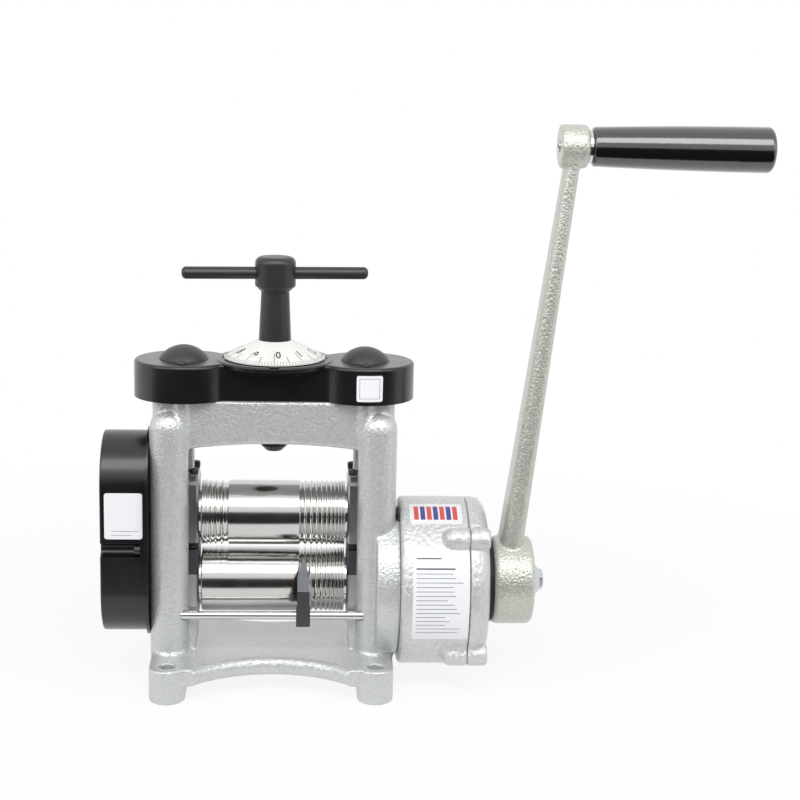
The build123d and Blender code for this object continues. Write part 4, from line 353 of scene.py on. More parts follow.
# Stove enamel is opaque white with a low gloss.
DIAL_ENAMEL = MouldedSurface("white_stove_enamel", "#f1f1ee", 0.32, coat=0.2, eased_edge=0.3,
                             grain=1.2, depth=0.004)
# Printing ink in the dial's marks.
DIAL_INK = MouldedSurface("black_dial_ink", "#17181a", 0.45, grain=0.4, depth=0.002)
# Nitrile rubber is a matt black.
SEAL_RUBBER = MouldedSurface("nitrile_rubber", "#141415", 0.6, grain=0.4, depth=0.02)
# The grip is phenolic resin, moulded and buffed to a high gloss.
GRIP_PLASTIC = MouldedSurface("polished_black_phenolic", "#08090b", 0.16, coat=1.0, coat_roughness=0.1,
                              specular=1.0, grain=6.0, depth=0.01, patch_amount=0.02)
# Vinyl label stock: white, slightly glossy.
LABEL_VINYL = MouldedSurface("white_label_vinyl", "#e9eaee", 0.34, grain=0.8, depth=0.004)
# Print on the labels is a soft grey, and red and blue on the coloured one.
LABEL_GREY = MouldedSurface("grey_label_print", "#85888e", 0.4, grain=0.5, depth=0.002)
LABEL_DARK = MouldedSurface("dark_label_print", "#3b3d43", 0.4, grain=0.5, depth=0.002)
LABEL_RED = MouldedSurface("red_label_print", "#d4524b", 0.4, grain=0.5, depth=0.002)
LABEL_BLUE = MouldedSurface("blue_label_print", "#44448c", 0.4, grain=0.5, depth=0.002)

NODE_FINISHES: dict[Slot, Finish] = {
    Slot.FRAME_PAINT: SILVER_HAMMERTONE,
    Slot.GEARBOX_PAINT: GEARBOX_HAMMERTONE,
    Slot.CRANK_PAINT: CRANK_HAMMERTONE,
    Slot.ROLL_STEEL: ROLL_STEEL,
    Slot.GROUND_STEEL: GROUND_STEEL,
    Slot.DARK_STEEL: DARK_STEEL,
    Slot.BRONZE: BRONZE,
    Slot.SPRING_STEEL: SPRING_STEEL,
    Slot.SCREW_STEEL: SCREW_STEEL,
    Slot.GEAR_STEEL: GEAR_STEEL,
    Slot.ZINC_STEEL: ZINC_STEEL,
    Slot.BRIGHT_STEEL: BRIGHT_STEEL,
    Slot.BLACK_OXIDE_STEEL: BLACK_OXIDE,
    Slot.COVER_PLASTIC: COVER_PLASTIC,
    Slot.DOME_PLASTIC: DOME_PLASTIC,
    Slot.DIAL_ENAMEL: DIAL_ENAMEL,
    Slot.SEAL_RUBBER: SEAL_RUBBER,
    Slot.GRIP_PLASTIC: GRIP_PLASTIC,
}


# ---------------------------------------------------------------- meshes
@dataclass(frozen=True)
class NodeBox:
    """Box of a node of the frame, in millimetres."""

    low: Vector
    high: Vector

    @classmethod
    def of(cls, node: str) -> "NodeBox":
        """Reads the box of a node from the frame."""
        low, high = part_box(node)
        return cls(low / MM, high / MM)

    @property
    def centre(self) -> Vector:
        """Middle of the box."""
        return (self.low + self.high) / 2


def new_object(name: str, mesh: Mesh) -> Object:
    """Puts a mesh into the scene.

    Args:
        name: Name of the object and its mesh.
        mesh: Mesh whose points are already in place.

    Returns:
        The object, at the origin.
    """
    mesh.name = name
    piece = bpy.data.objects.new(name, mesh)
    bpy.context.scene.collection.objects.link(piece)
    return piece


def mesh_of(points: Sequence[Vector], faces: Sequence[Sequence[int]], sharp_angle: float = 30.0) -> Mesh:
    """Makes a closed mesh with its doubles merged and its faces outwards.

    Args:
        points: Corners in millimetres.
        faces: Corner numbers of each face.
        sharp_angle: Edges that turn by more than this many degrees stay sharp.

    Returns:
        The mesh, in metres.
    """
    shape = bmesh.new()
    corners = [shape.verts.new(Vector(p) * MM) for p in points]
    for face in faces:
        shape.faces.new([corners[i] for i in face])
    bmesh.ops.remove_doubles(shape, verts=shape.verts, dist=1e-7)
    bmesh.ops.recalc_face_normals(shape, faces=shape.faces)
    mesh = bpy.data.meshes.new("made")
    shape.to_mesh(mesh)
    shape.free()
    return smoothed(mesh, sharp_angle)


def smoothed(mesh: Mesh, sharp_angle: float = 30.0) -> Mesh:
    """Shades a mesh smooth, apart from its sharp edges."""
    mesh.shade_smooth()
    mesh.set_sharp_from_angle(angle=math.radians(sharp_angle))
    return mesh


def lathe(profile: Sequence[Point], along: Along, segments: int = 128,
          centre: Sequence[float] = (0, 0, 0)) -> Mesh:
    """Turns an outline about an axis.

    Args:
        profile: (place along the axis, radius) points, from axis to axis.
        along: The axis.
        segments: Steps round the axis.
        centre: What is added to every point, in millimetres.

    Returns:
        The turned mesh.
    """
    points, faces = [], []
    for place, radius in profile:
        for step in range(segments):
            angle = 2 * math.pi * step / segments
            across, up = radius * math.cos(angle), radius * math.sin(angle)
            raw = (place, across, up) if along is Along.X else (across, up, place)
            points.append(Vector(raw) + Vector(centre))
    for ring in range(len(profile) - 1):
        for step in range(segments):
            after = (step + 1) % segments
            low, high = ring * segments, (ring + 1) * segments
            quad = (low + step, low + after, high + after, high + step)
            if profile[ring][1] == 0:
                quad = (low, high + after, high + step)
            elif profile[ring + 1][1] == 0:
                quad = (low + step, low + after, high)
            faces.append(quad)
    return mesh_of(points, faces)


def joined_mesh(parts: Iterable[Mesh]) -> Mesh:
    """Joins meshes into one, and removes them."""
    joined = bmesh.new()
    for part in parts:
        joined.from_mesh(part)
        bpy.data.meshes.remove(part)
    mesh = bpy.data.meshes.new("joined")
    joined.to_mesh(mesh)
    joined.free()
    return mesh


def evaluated_mesh(piece: Object) -> Mesh:
    """Gives the mesh that an object's modifiers make, and removes the object."""
    graph = bpy.context.evaluated_depsgraph_get()
    mesh = bpy.data.meshes.new_from_object(piece.evaluated_get(graph), depsgraph=graph)
    bpy.data.objects.remove(piece)
    return mesh


def welded_copy(node: str) -> Mesh:
    """Copies a node's mesh and joins its loose triangles."""
    shape = bmesh.new()
    shape.from_mesh(bpy.data.objects[node].data)
    bmesh.ops.remove_doubles(shape, verts=shape.verts, dist=1e-6)
    mesh = bpy.data.meshes.new(node)
    shape.to_mesh(mesh)
    shape.free()
    return mesh


def cast_mesh(node: str, voxel: float, rounds: int) -> Mesh:
    """Remeshes a node evenly and softens its edges and roots, as a casting's are.

    Args:
        node: Node of the frame.
        voxel: Size of the new faces in millimetres.
        rounds: Rounds of smoothing; more make larger edges.

    Returns:
        The softened mesh, kept inside the node's own box.
    """
    piece = new_object("casting", welded_copy(node))
    remesh = piece.modifiers.new("even", "REMESH")
    remesh.mode = "VOXEL"
    remesh.voxel_size = voxel * MM
    soften = piece.modifiers.new("soft", "SMOOTH")
    soften.factor = 0.5
    soften.iterations = rounds
    mesh = evaluated_mesh(piece)
    low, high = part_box(node)
    for vertex in mesh.vertices:
        vertex.co = Vector(min(max(c, a), b) for c, a, b in zip(vertex.co, low, high))
    return smoothed(mesh, 180.0)


def tree_mesh(tree: NodeTree, values: dict[str, object], points: Sequence[Vector] = ()) -> Mesh:
    """Runs a geometry tree and gives its result as a plain mesh.

    Args:
        tree: Tree whose inputs have names.
        values: Value of each named input.
        points: Loose points that the tree starts from, in millimetres.

    Returns:
        The mesh that the tree makes.
    """
    base = bpy.data.meshes.new("points")
    base.from_pydata([Vector(p) * MM for p in points], [], [])
    piece = new_object("points", base)
    modifier = piece.modifiers.new("tree", "NODES")
    modifier.node_group = tree
    for item in tree.interface.items_tree:
        if item.in_out == "INPUT" and item.name in values:
            modifier[item.identifier] = values[item.name]
    return evaluated_mesh(piece)


def tree_sockets(tree: NodeTree, inputs: dict[str, str]) -> Node:
    """Gives a geometry tree its named inputs and its output.

    Args:
        tree: New, empty tree.
        inputs: Name to the last word of the socket's class, such as Float.

    Returns:
        The group's input node.
    """
    tree.interface.new_socket(name="Geometry", in_out="INPUT", socket_type="NodeSocketGeometry")
    for name, kind in inputs.items():
        tree.interface.new_socket(name=name, in_out="INPUT", socket_type=f"NodeSocket{kind}")
    tree.interface.new_socket(name="Geometry", in_out="OUTPUT", socket_type="NodeSocketGeometry")
    return add_node(tree, "NodeGroupInput")


def finish_tree(tree: NodeTree, instances: NodeSocket, finish: Finish) -> None:
    """Ends a geometry tree with real meshes of one finish."""
    real = add_node(tree, "GeometryNodeRealizeInstances", {"Geometry": instances})
    dressed = add_node(tree, "GeometryNodeSetMaterial",
                       {"Geometry": real.outputs[0], "Material": finish.material()})
    add_node(tree, "NodeGroupOutput", {0: dressed.outputs[0]})


# ---------------------------------------------------------------- the mill as a whole
class SubAssembly:
    """A group of pieces that is built and dressed together."""

    def build(self) -> None:
        """Makes the sub-assembly's pieces."""
        raise NotImplementedError

    def add(self, name: str, mesh: Mesh, body: Body, slot: Slot, finish: Finish,
            *replaced: str) -> Object:
        """Puts a finished mesh on its body.

        Args:
            name: The piece's name.
            mesh: Its mesh, in place.
            body: Body that it rides on.
            slot: Not used.
            finish: What it is made of.
            replaced: Nodes of the frame that it stands for.

        Returns:
            The piece.
        """
        piece = new_object(name, mesh)
        mesh.materials.clear()
        mesh.materials.append(finish.material())
        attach(piece, body.value)
        if replaced:
            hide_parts(*replaced)
        LOG.info("%s: %d faces on %s", name, len(mesh.polygons), body.value)
        return piece


@dataclass
class PlainNodes(SubAssembly):
    """Nodes of the frame whose shape is already right: each gets its slot's finish."""

    record: dict

    def build(self) -> None:
        """Dresses every node by the record's list of subparts."""
        for subpart in self.record["subparts"]:
            mesh = bpy.data.objects[subpart["node"]].data
            mesh.materials.clear()
            mesh.materials.append(NODE_FINISHES[Slot(subpart["material_slot"])].material())
        LOG.info("%d nodes of the frame dressed", len(self.record["subparts"]))


@dataclass
class Castings(SubAssembly):
    """The painted castings: frame, gearbox housing, gearbox cover and crank."""

    voxel: float = 1.15
    fine_voxel: float = 0.9
    rounds: int = 6
    gearbox_rounds: int = 14

    def build(self) -> None:
        """Softens and paints each casting."""
        self.add("frame_body", cast_mesh("frame_casting", self.voxel, self.rounds), Body.FRAME,
                 Slot.FRAME_PAINT, SILVER_HAMMERTONE, "frame_casting")
        for name, node in (("gearbox_body", "gearbox_housing"), ("gearbox_lid", "gearbox_cover")):
            self.add(name, cast_mesh(node, self.fine_voxel, self.gearbox_rounds), Body.FRAME,
                     Slot.GEARBOX_PAINT, GEARBOX_HAMMERTONE, node)
        self.add("crank_body", cast_mesh("crank_arm", self.fine_voxel, self.gearbox_rounds), Body.CRANK,
                 Slot.CRANK_PAINT, CRANK_HAMMERTONE, "crank_arm")


@dataclass
class Rolls(SubAssembly):
    """The pair of rolls, turned with every groove and with slightly broken lips."""

    body_half: float = 55.0
    edge_chamfer: float = 0.8
    vee_start: float = 20.0
    vee_count: int = 10
    vee_first_pitch: float = 5.0
    vee_last_pitch: float = 1.9
    vee_land: float = 0.12
    round_widths: tuple[float, ...] = (1.7, 2.6, 3.2, 4.1, 5.0)
    round_land: float = 0.7
    round_depth_share: float = 0.42
    round_steps: int = 10
    shoulder_radius: float = 20.0
    shoulder_end: float = 56.7
    journal_radius: float = 15.0
    journal_end: float = 92.75
    seat_radius: float = 12.0
    output_radius: float = 12.5
    broken_edge: float = 0.12
    segments: int = 180

    def groove_points(self, radius: float, with_rounds: bool) -> list[Point]:
        """Gives the grooved body's outline.

        Args:
            radius: Radius of the plain roll.
            with_rounds: True for the roll that also has half-round grooves at its left.

        Returns:
            (x, radius) points from the left end to the right one.
        """
        x = -self.body_half + self.edge_chamfer
        points = [(-self.body_half, radius - self.edge_chamfer), (x, radius)]
        for width in self.round_widths if with_rounds else ():
            x += self.round_land
            deep = width * self.round_depth_share
            bow = (width * width / 4 + deep * deep) / (2 * deep)
            half_angle = math.asin(min(1.0, width / 2 / bow))
            points.append((x - self.broken_edge, radius))
            for step in range(self.round_steps + 1):
                angle = half_angle * (2 * step / self.round_steps - 1)
                points.append((x + width / 2 + bow * math.sin(angle),
                               radius - deep + bow * (1 - math.cos(angle))))
            x += width
            points.append((x + self.broken_edge, radius))
        points = [(px, min(pr, radius)) for px, pr in points]
        x = self.vee_start
        for index in range(self.vee_count):
            share = index / (self.vee_count - 1)
            pitch = self.vee_first_pitch + (self.vee_last_pitch - self.vee_first_pitch) * share
            width = pitch * (1 - self.vee_land)
            lip = self.broken_edge / 2
            points += [(x - lip, radius), (x + lip, radius - lip), (x + width / 2, radius - width / 2),
                       (x + width - lip, radius - lip), (x + width + lip, radius)]
            x += pitch
        end = self.body_half
        return points + [(end - self.edge_chamfer / 2, radius), (end, radius - self.edge_chamfer / 2)]

    def outline(self, node: str, grooved: bool, right: Sequence[Point]) -> list[Point]:
        """Gives a roll's whole outline, from its tail to its right end."""
        box = NodeBox.of(node)
        radius = (box.high.y - box.low.y) / 2
        tail = box.low.x
        chamfer = self.edge_chamfer
        left = [(tail, 0), (tail, self.seat_radius - chamfer), (tail + chamfer, self.seat_radius),
                (-self.journal_end, self.seat_radius), (-self.journal_end, self.journal_radius),
                (-self.shoulder_end, self.journal_radius), (-self.shoulder_end, self.shoulder_radius),
                (-self.body_half, self.shoulder_radius)]
        middle = [(self.body_half, self.shoulder_radius), (self.shoulder_end, self.shoulder_radius),
                  (self.shoulder_end, self.journal_radius), (self.journal_end, self.journal_radius)]
        return left + self.groove_points(radius, grooved) + middle + list(right)

    def build(self) -> None:
        """Turns both rolls."""
        lower_end = NodeBox.of("lower_roll").high.x
        rights = {
            "upper_roll": [(self.journal_end, 0)],
            "lower_roll": [(self.journal_end, self.output_radius), (lower_end, self.output_radius),
                           (lower_end, 0)],
        }
        for node, body in (("upper_roll", Body.UPPER_ROLL), ("lower_roll", Body.LOWER_ROLL)):
            outline = self.outline(node, node == "upper_roll", rights[node])
            mesh = lathe(outline, Along.X, self.segments, (0, 0, NodeBox.of(node).centre.z))
            self.add(f"{node}_turned", mesh, body, Slot.ROLL_STEEL, ROLL_STEEL, node)


@dataclass
class LiftSprings(SubAssembly):
    """Four coil springs with closed, ground ends."""

    coil_radius: float = 3.2
    wire_radius: float = 0.6
    turns: int = 6
    sides: int = 10
    steps_per_turn: int = 28
    lift_down: float = 3.7

    def coil(self, x: float, y: float, low: float, high: float) -> tuple[list[Vector], list[list[int]]]:
        """Gives one coil's points and faces."""
        points, faces = [], []
        rings = self.turns * self.steps_per_turn + 1
        for ring in range(rings):
            share = ring / (rings - 1)
            angle = 2 * math.pi * self.turns * share
            out = Vector((math.cos(angle), math.sin(angle), 0))
            middle = Vector((x, y, low + (high - low) * share)) + out * self.coil_radius
            for side in range(self.sides):
                turn = 2 * math.pi * side / self.sides
                lift = Vector((0, 0, math.sin(turn) * self.wire_radius))
                points.append(middle + out * math.cos(turn) * self.wire_radius + lift)
        for ring in range(rings - 1):
            for side in range(self.sides):
                after = (side + 1) % self.sides
                a, b = ring * self.sides, (ring + 1) * self.sides
                faces.append([a + side, a + after, b + after, b + side])
        faces.append(list(range(self.sides)))
        faces.append(list(range((rings - 1) * self.sides, rings * self.sides)))
        return points, faces

    def build(self) -> None:
        """Winds the four springs as one piece on the frame."""
        box = NodeBox.of("lift_springs")
        reach = self.coil_radius + self.wire_radius
        points, faces = [], []
        for x in (box.low.x + reach, box.high.x - reach):
            for y in (box.low.y + reach, box.high.y - reach):
                more, quads = self.coil(x, y, box.low.z + self.wire_radius, box.high.z - self.wire_radius)
                faces += [[i + len(points) for i in quad] for quad in quads]
                points += more
        piece = self.add("lift_spring_coils", mesh_of(points, faces, 60), Body.FRAME, Slot.SPRING_STEEL,
                         SPRING_STEEL, "lift_springs")
        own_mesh(piece)


@dataclass
class ButtonScrews(SubAssembly):
    """Button-head socket screws of the top cover and of the upper blocks' clips."""

    cover_head_radius: float = 3.8
    cover_head_height: float = 2.2
    socket_across: float = 2.5
    clip_head_radius: float = 3.4
    clip_head_height: float = 4.0
    cover_crown: float = 1.7
    clip_crown: float = 0.7
    crown_steps: int = 4
    flat_share: float = 0.55
    socket_floor: float = 0.4
    turn_each: float = 0.7
    sharp_angle: float = 35.0
    segments: int = 36

    def head(self, radius: float, height: float, crown: float) -> Object:
        """Makes one screw head with a hexagonal socket, standing on the origin.

        Args:
            radius: Radius of the head.
            height: Its height.
            crown: How far its top is rounded down at the rim.

        Returns:
            The template object.
        """
        rings = [(radius, 0.0), (radius, height - crown)]
        inner, socket_floor = radius * self.flat_share, height * self.socket_floor
        for step in range(1, self.crown_steps + 1):
            angle = math.pi / 2 * step / self.crown_steps
            rings.append((inner + (radius - inner) * math.cos(angle),
                          height - crown + crown * math.sin(angle)))
        points, faces = [Vector((0, 0, 0))], []
        for ring_radius, z in rings:
            points += [Vector((ring_radius * math.cos(a), ring_radius * math.sin(a), z))
                       for a in self.angles()]
        for z in (height, socket_floor):
            points += [Vector((*self.hexagon(a, self.socket_across / 2), z)) for a in self.angles()]
        points.append(Vector((0, 0, socket_floor)))
        count = self.segments
        for ring in range(len(rings) + 1):
            for step in range(count):
                after = (step + 1) % count
                low, high = 1 + ring * count, 1 + (ring + 1) * count
                faces.append((low + step, low + after, high + after, high + step))
        last = 1 + (len(rings) + 1) * count
        faces += [(0, 1 + (s + 1) % count, 1 + s) for s in range(count)]
        faces += [(last + s, last + (s + 1) % count, len(points) - 1) for s in range(count)]
        return new_object("head", mesh_of(points, faces, self.sharp_angle))

    def angles(self) -> list[float]:
        """Gives the angles of a ring's points."""
        return [2 * math.pi * step / self.segments for step in range(self.segments)]

    @staticmethod
    def hexagon(angle: float, half: float) -> Point:
        """Gives the point of a hexagon's edge at an angle, `half` being half the width across flats."""
        sector = math.pi / 3
        reach = half / math.cos(angle % sector - sector / 2)
        return reach * math.cos(angle), reach * math.sin(angle)

    def tree(self) -> NodeTree:
        """Builds the tree that sets a head on every point."""
        tree = bpy.data.node_groups.new("screw_heads", "GeometryNodeTree")
        given = tree_sockets(tree, {"Head": "Object", "Turn": "Float"})
        head = add_node(tree, "GeometryNodeObjectInfo", {"Object": given.outputs["Head"]})
        index = add_node(tree, "GeometryNodeInputIndex")
        turned = calc(tree, "MULTIPLY", index.outputs[0], given.outputs["Turn"])
        turn = add_node(tree, "ShaderNodeCombineXYZ", {"Z": turned})
        spread = add_node(tree, "GeometryNodeInstanceOnPoints",
                          {"Points": given.outputs["Geometry"], "Instance": head.outputs["Geometry"],
                           "Rotation": turn.outputs[0]})
        finish_tree(tree, spread.outputs[0], BLACK_OXIDE)
        return tree

    def build(self) -> None:
        """Sets the heads and hides the plain screws below them."""
        tree = self.tree()
        jobs = (("cover_screw_heads", "top_cover_screws", Body.FRAME, self.cover_head_radius,
                 self.cover_head_height, self.cover_crown),
                ("clip_screw_heads", "clip_screws", Body.CARRIAGE, self.clip_head_radius,
                 self.clip_head_height, self.clip_crown))
        for name, node, body, radius, height, crown in jobs:
            box = NodeBox.of(node)
            seat = box.high.z - height
            head = self.head(radius, height, crown)
            places = [Vector((x, y, seat)) for x in (box.low.x + radius, box.high.x - radius)
                      for y in (box.low.y + radius, box.high.y - radius)]
            mesh = smoothed(tree_mesh(tree, {"Head": head, "Turn": self.turn_each}, places), self.sharp_angle)
            bpy.data.objects.remove(head)
            self.add(name, mesh, body, Slot.BLACK_OXIDE_STEEL, BLACK_OXIDE, node)


@dataclass
class Dial(SubAssembly):
    """Marks of the white conical dial: ticks and the plain numbers 0 to 9."""

    rim_radius: float = 38.5
    top_radius: float = 12.9
    cone_rise: float = 12.5
    first_angle: float = -90.0
    numbers: int = 10
    minor_steps: int = 10
    tick_start: float = 0.5
    minor_length: float = 3.0
    minor_width: float = 0.3
    medium_length: float = 8.8
    long_length: float = 13.0
    tick_width: float = 0.42
    tick_proud: float = 0.06
    digit_height: float = 8.0
    font_share: float = 1.38
    digit_bolder: float = 0.12
    digit_squeeze: float = 0.72
    digit_place: float = 12.2
    digit_beside: float = 2.9

    def cone(self) -> tuple[float, float]:
        """Gives the printed cone's slope angle, and its edge's height above the origin."""
        slope = math.atan2(self.cone_rise, self.rim_radius - self.top_radius)
        return slope, NodeBox.of("dial").high.z - self.cone_rise

    def tick_tree(self) -> NodeTree:
        """Builds the tree that lays one ring of ticks on the cone."""
        tree = bpy.data.node_groups.new("dial_ticks", "GeometryNodeTree")
        given = tree_sockets(tree, {"Count": "Int", "First Angle": "Float", "Size": "Vector",
                                    "Middle": "Vector", "Slope": "Float"})
        tick = add_node(tree, "GeometryNodeMeshCube", {"Size": given.outputs["Size"]})
        tilt = add_node(tree, "ShaderNodeCombineXYZ", {"Y": given.outputs["Slope"]})
        laid = add_node(tree, "GeometryNodeTransform",
                        {"Geometry": tick.outputs[0], "Translation": given.outputs["Middle"],
                         "Rotation": tilt.outputs[0]})
        line = add_node(tree, "GeometryNodeMeshLine", {"Count": given.outputs["Count"], "Offset": (0, 0, 0)})
        step = calc(tree, "DIVIDE", 2 * math.pi, given.outputs["Count"])
        index = add_node(tree, "GeometryNodeInputIndex")
        angle = calc(tree, "MULTIPLY_ADD", index.outputs[0], step, given.outputs["First Angle"])
        turn = add_node(tree, "ShaderNodeCombineXYZ", {"Z": angle})
        ring = add_node(tree, "GeometryNodeInstanceOnPoints",
                        {"Points": line.outputs[0], "Instance": laid.outputs[0], "Rotation": turn.outputs[0]})
        finish_tree(tree, ring.outputs[0], DIAL_INK)
        return tree

    def ticks(self) -> None:
        """Adds the rings of short, medium and long ticks."""
        slope, edge_z = self.cone()
        tree = self.tick_tree()
        minor_count = self.numbers * self.minor_steps
        rings = (("dial_short_ticks", minor_count, 0.0, self.minor_length, self.minor_width),
                 ("dial_medium_ticks", self.numbers, math.pi / self.numbers, self.medium_length,
                  self.tick_width),
                 ("dial_long_ticks", self.numbers, 0.0, self.long_length, self.tick_width))
        for name, count, shift, length, width in rings:
            middle = self.tick_start + length / 2
            place = Vector((self.rim_radius - middle * math.cos(slope), 0,
                            edge_z + middle * math.sin(slope))) * MM
            mesh = tree_mesh(tree, {
                "Count": count, "First Angle": math.radians(self.first_angle) + shift,
                "Size": Vector((length, width, 2 * self.tick_proud)) * MM, "Middle": place, "Slope": slope})
            self.add(name, mesh, Body.T_HANDLE, Slot.DIAL_ENAMEL, DIAL_INK)

    def digit(self, number: int) -> Mesh:
        """Makes one digit, flat and centred on the origin."""
        curve = bpy.data.curves.new("digit", "FONT")
        curve.body = str(number)
        curve.size = self.digit_height * self.font_share * MM
        curve.align_x = "CENTER"
        curve.align_y = "CENTER"
        curve.extrude = self.tick_proud * MM
        curve.offset = self.digit_bolder * MM
        piece = bpy.data.objects.new("digit", curve)
        bpy.context.scene.collection.objects.link(piece)
        mesh = evaluated_mesh(piece)
        middle = sum((v.co for v in mesh.vertices), Vector()) / len(mesh.vertices)
        squeeze = Matrix.Diagonal((self.digit_squeeze, 1, 1, 1))
        mesh.transform(squeeze @ Matrix.Translation((-middle.x, -middle.y, 0)))
        return mesh

    def build(self) -> None:
        """Adds the ticks and the numbers."""
        self.ticks()
        slope, edge_z = self.cone()
        radius = self.rim_radius - self.digit_place * math.cos(slope)
        height = edge_z + self.digit_place * math.sin(slope)
        digits = []
        for number in range(self.numbers):
            turn = math.radians(self.first_angle + 360 * number / self.numbers) + self.digit_beside / radius
            outward = Vector((math.cos(turn), math.sin(turn), 0))
            sideways = Vector((-math.sin(turn), math.cos(turn), 0))
            uphill = -outward * math.cos(slope) + Vector((0, 0, math.sin(slope)))
            normal = sideways.cross(uphill)
            place = outward * radius + Vector((0, 0, height))
            matrix = Matrix((sideways, uphill, normal)).transposed().to_4x4()
            mesh = self.digit(number)
            mesh.transform(Matrix.Translation(place * MM) @ matrix)
            digits.append(mesh)
        self.add("dial_numbers", joined_mesh(digits), Body.T_HANDLE, Slot.DIAL_ENAMEL, DIAL_INK)


@dataclass(frozen=True)
class Wrap:
    """Round surface that a label lies on, with a flat stretch in the middle of its front where it has one."""

    along: Along
    centre: tuple[float, float]
    radius: float
    half_flat: float = 0.0
    bend_steps: int = 6
    row_step: float = 1.5
    column_step: float = 2.5
    sunk: float = 0.05

    def point(self, place: float, round_by: float, proud: float) -> Vector:
        """Gives a point over the surface.

        Args:
            place: Along the axis.
            round_by: Along the surface, from the middle of its front, upwards or to the right.
            proud: Height over the surface.

        Returns:
            The point in millimetres.
        """
        flat = max(-self.half_flat, min(self.half_flat, round_by))
        angle = (round_by - flat) / self.radius
        out = (self.radius + proud) * math.cos(angle)
        side = flat + (self.radius + proud) * math.sin(angle)
        if self.along is Along.X:
            return Vector((place, self.centre[0] - out, self.centre[1] + side))
        return Vector((self.centre[0] + side, self.centre[1] - out, place))

    def patch(self, low: Point, high: Point, corner: float, proud: float) -> Mesh:
        """Makes a thin patch with round corners on the surface.

        Args:
            low: (along, round) of its lower left corner.
            high: The same of its upper right corner.
            corner: Radius of its corners.
            proud: Its thickness.

        Returns:
            The patch as a closed mesh.
        """
        bends = [corner * (1 - math.cos(math.pi / 2 * step / self.bend_steps))
                 for step in range(self.bend_steps + 1)]
        length = high[1] - low[1]
        inner = max(2, round((length - 2 * corner) / self.row_step))
        rows = [low[1] + b for b in bends]
        rows += [low[1] + corner + (length - 2 * corner) * step / inner for step in range(1, inner)]
        rows += [high[1] - b for b in reversed(bends)]
        columns = max(2, round((high[0] - low[0]) / self.column_step))
        points, faces = [], []
        for lift in (proud, -self.sunk):
            for row in rows:
                gap = max(0.0, corner - min(row - low[1], high[1] - row))
                inset = corner - math.sqrt(max(0.0, corner * corner - gap * gap))
                for column in range(columns + 1):
                    share = column / columns
                    place = low[0] + inset + (high[0] - low[0] - 2 * inset) * share
                    points.append(self.point(place, row, lift))
        wide, layer = columns + 1, len(rows) * (columns + 1)
        for row in range(len(rows) - 1):
            for column in range(columns):
                a = row * wide + column
                faces.append((a, a + 1, a + wide + 1, a + wide))
                faces.append((layer + a, layer + a + wide, layer + a + wide + 1, layer + a + 1))
            for a in (row * wide, row * wide + columns):
                faces.append((a, a + wide, layer + a + wide, layer + a))
        for column in range(columns):
            for a in (column, (len(rows) - 1) * wide + column):
                faces.append((a, a + 1, layer + a + 1, layer + a))
        return mesh_of(points, faces, 40)


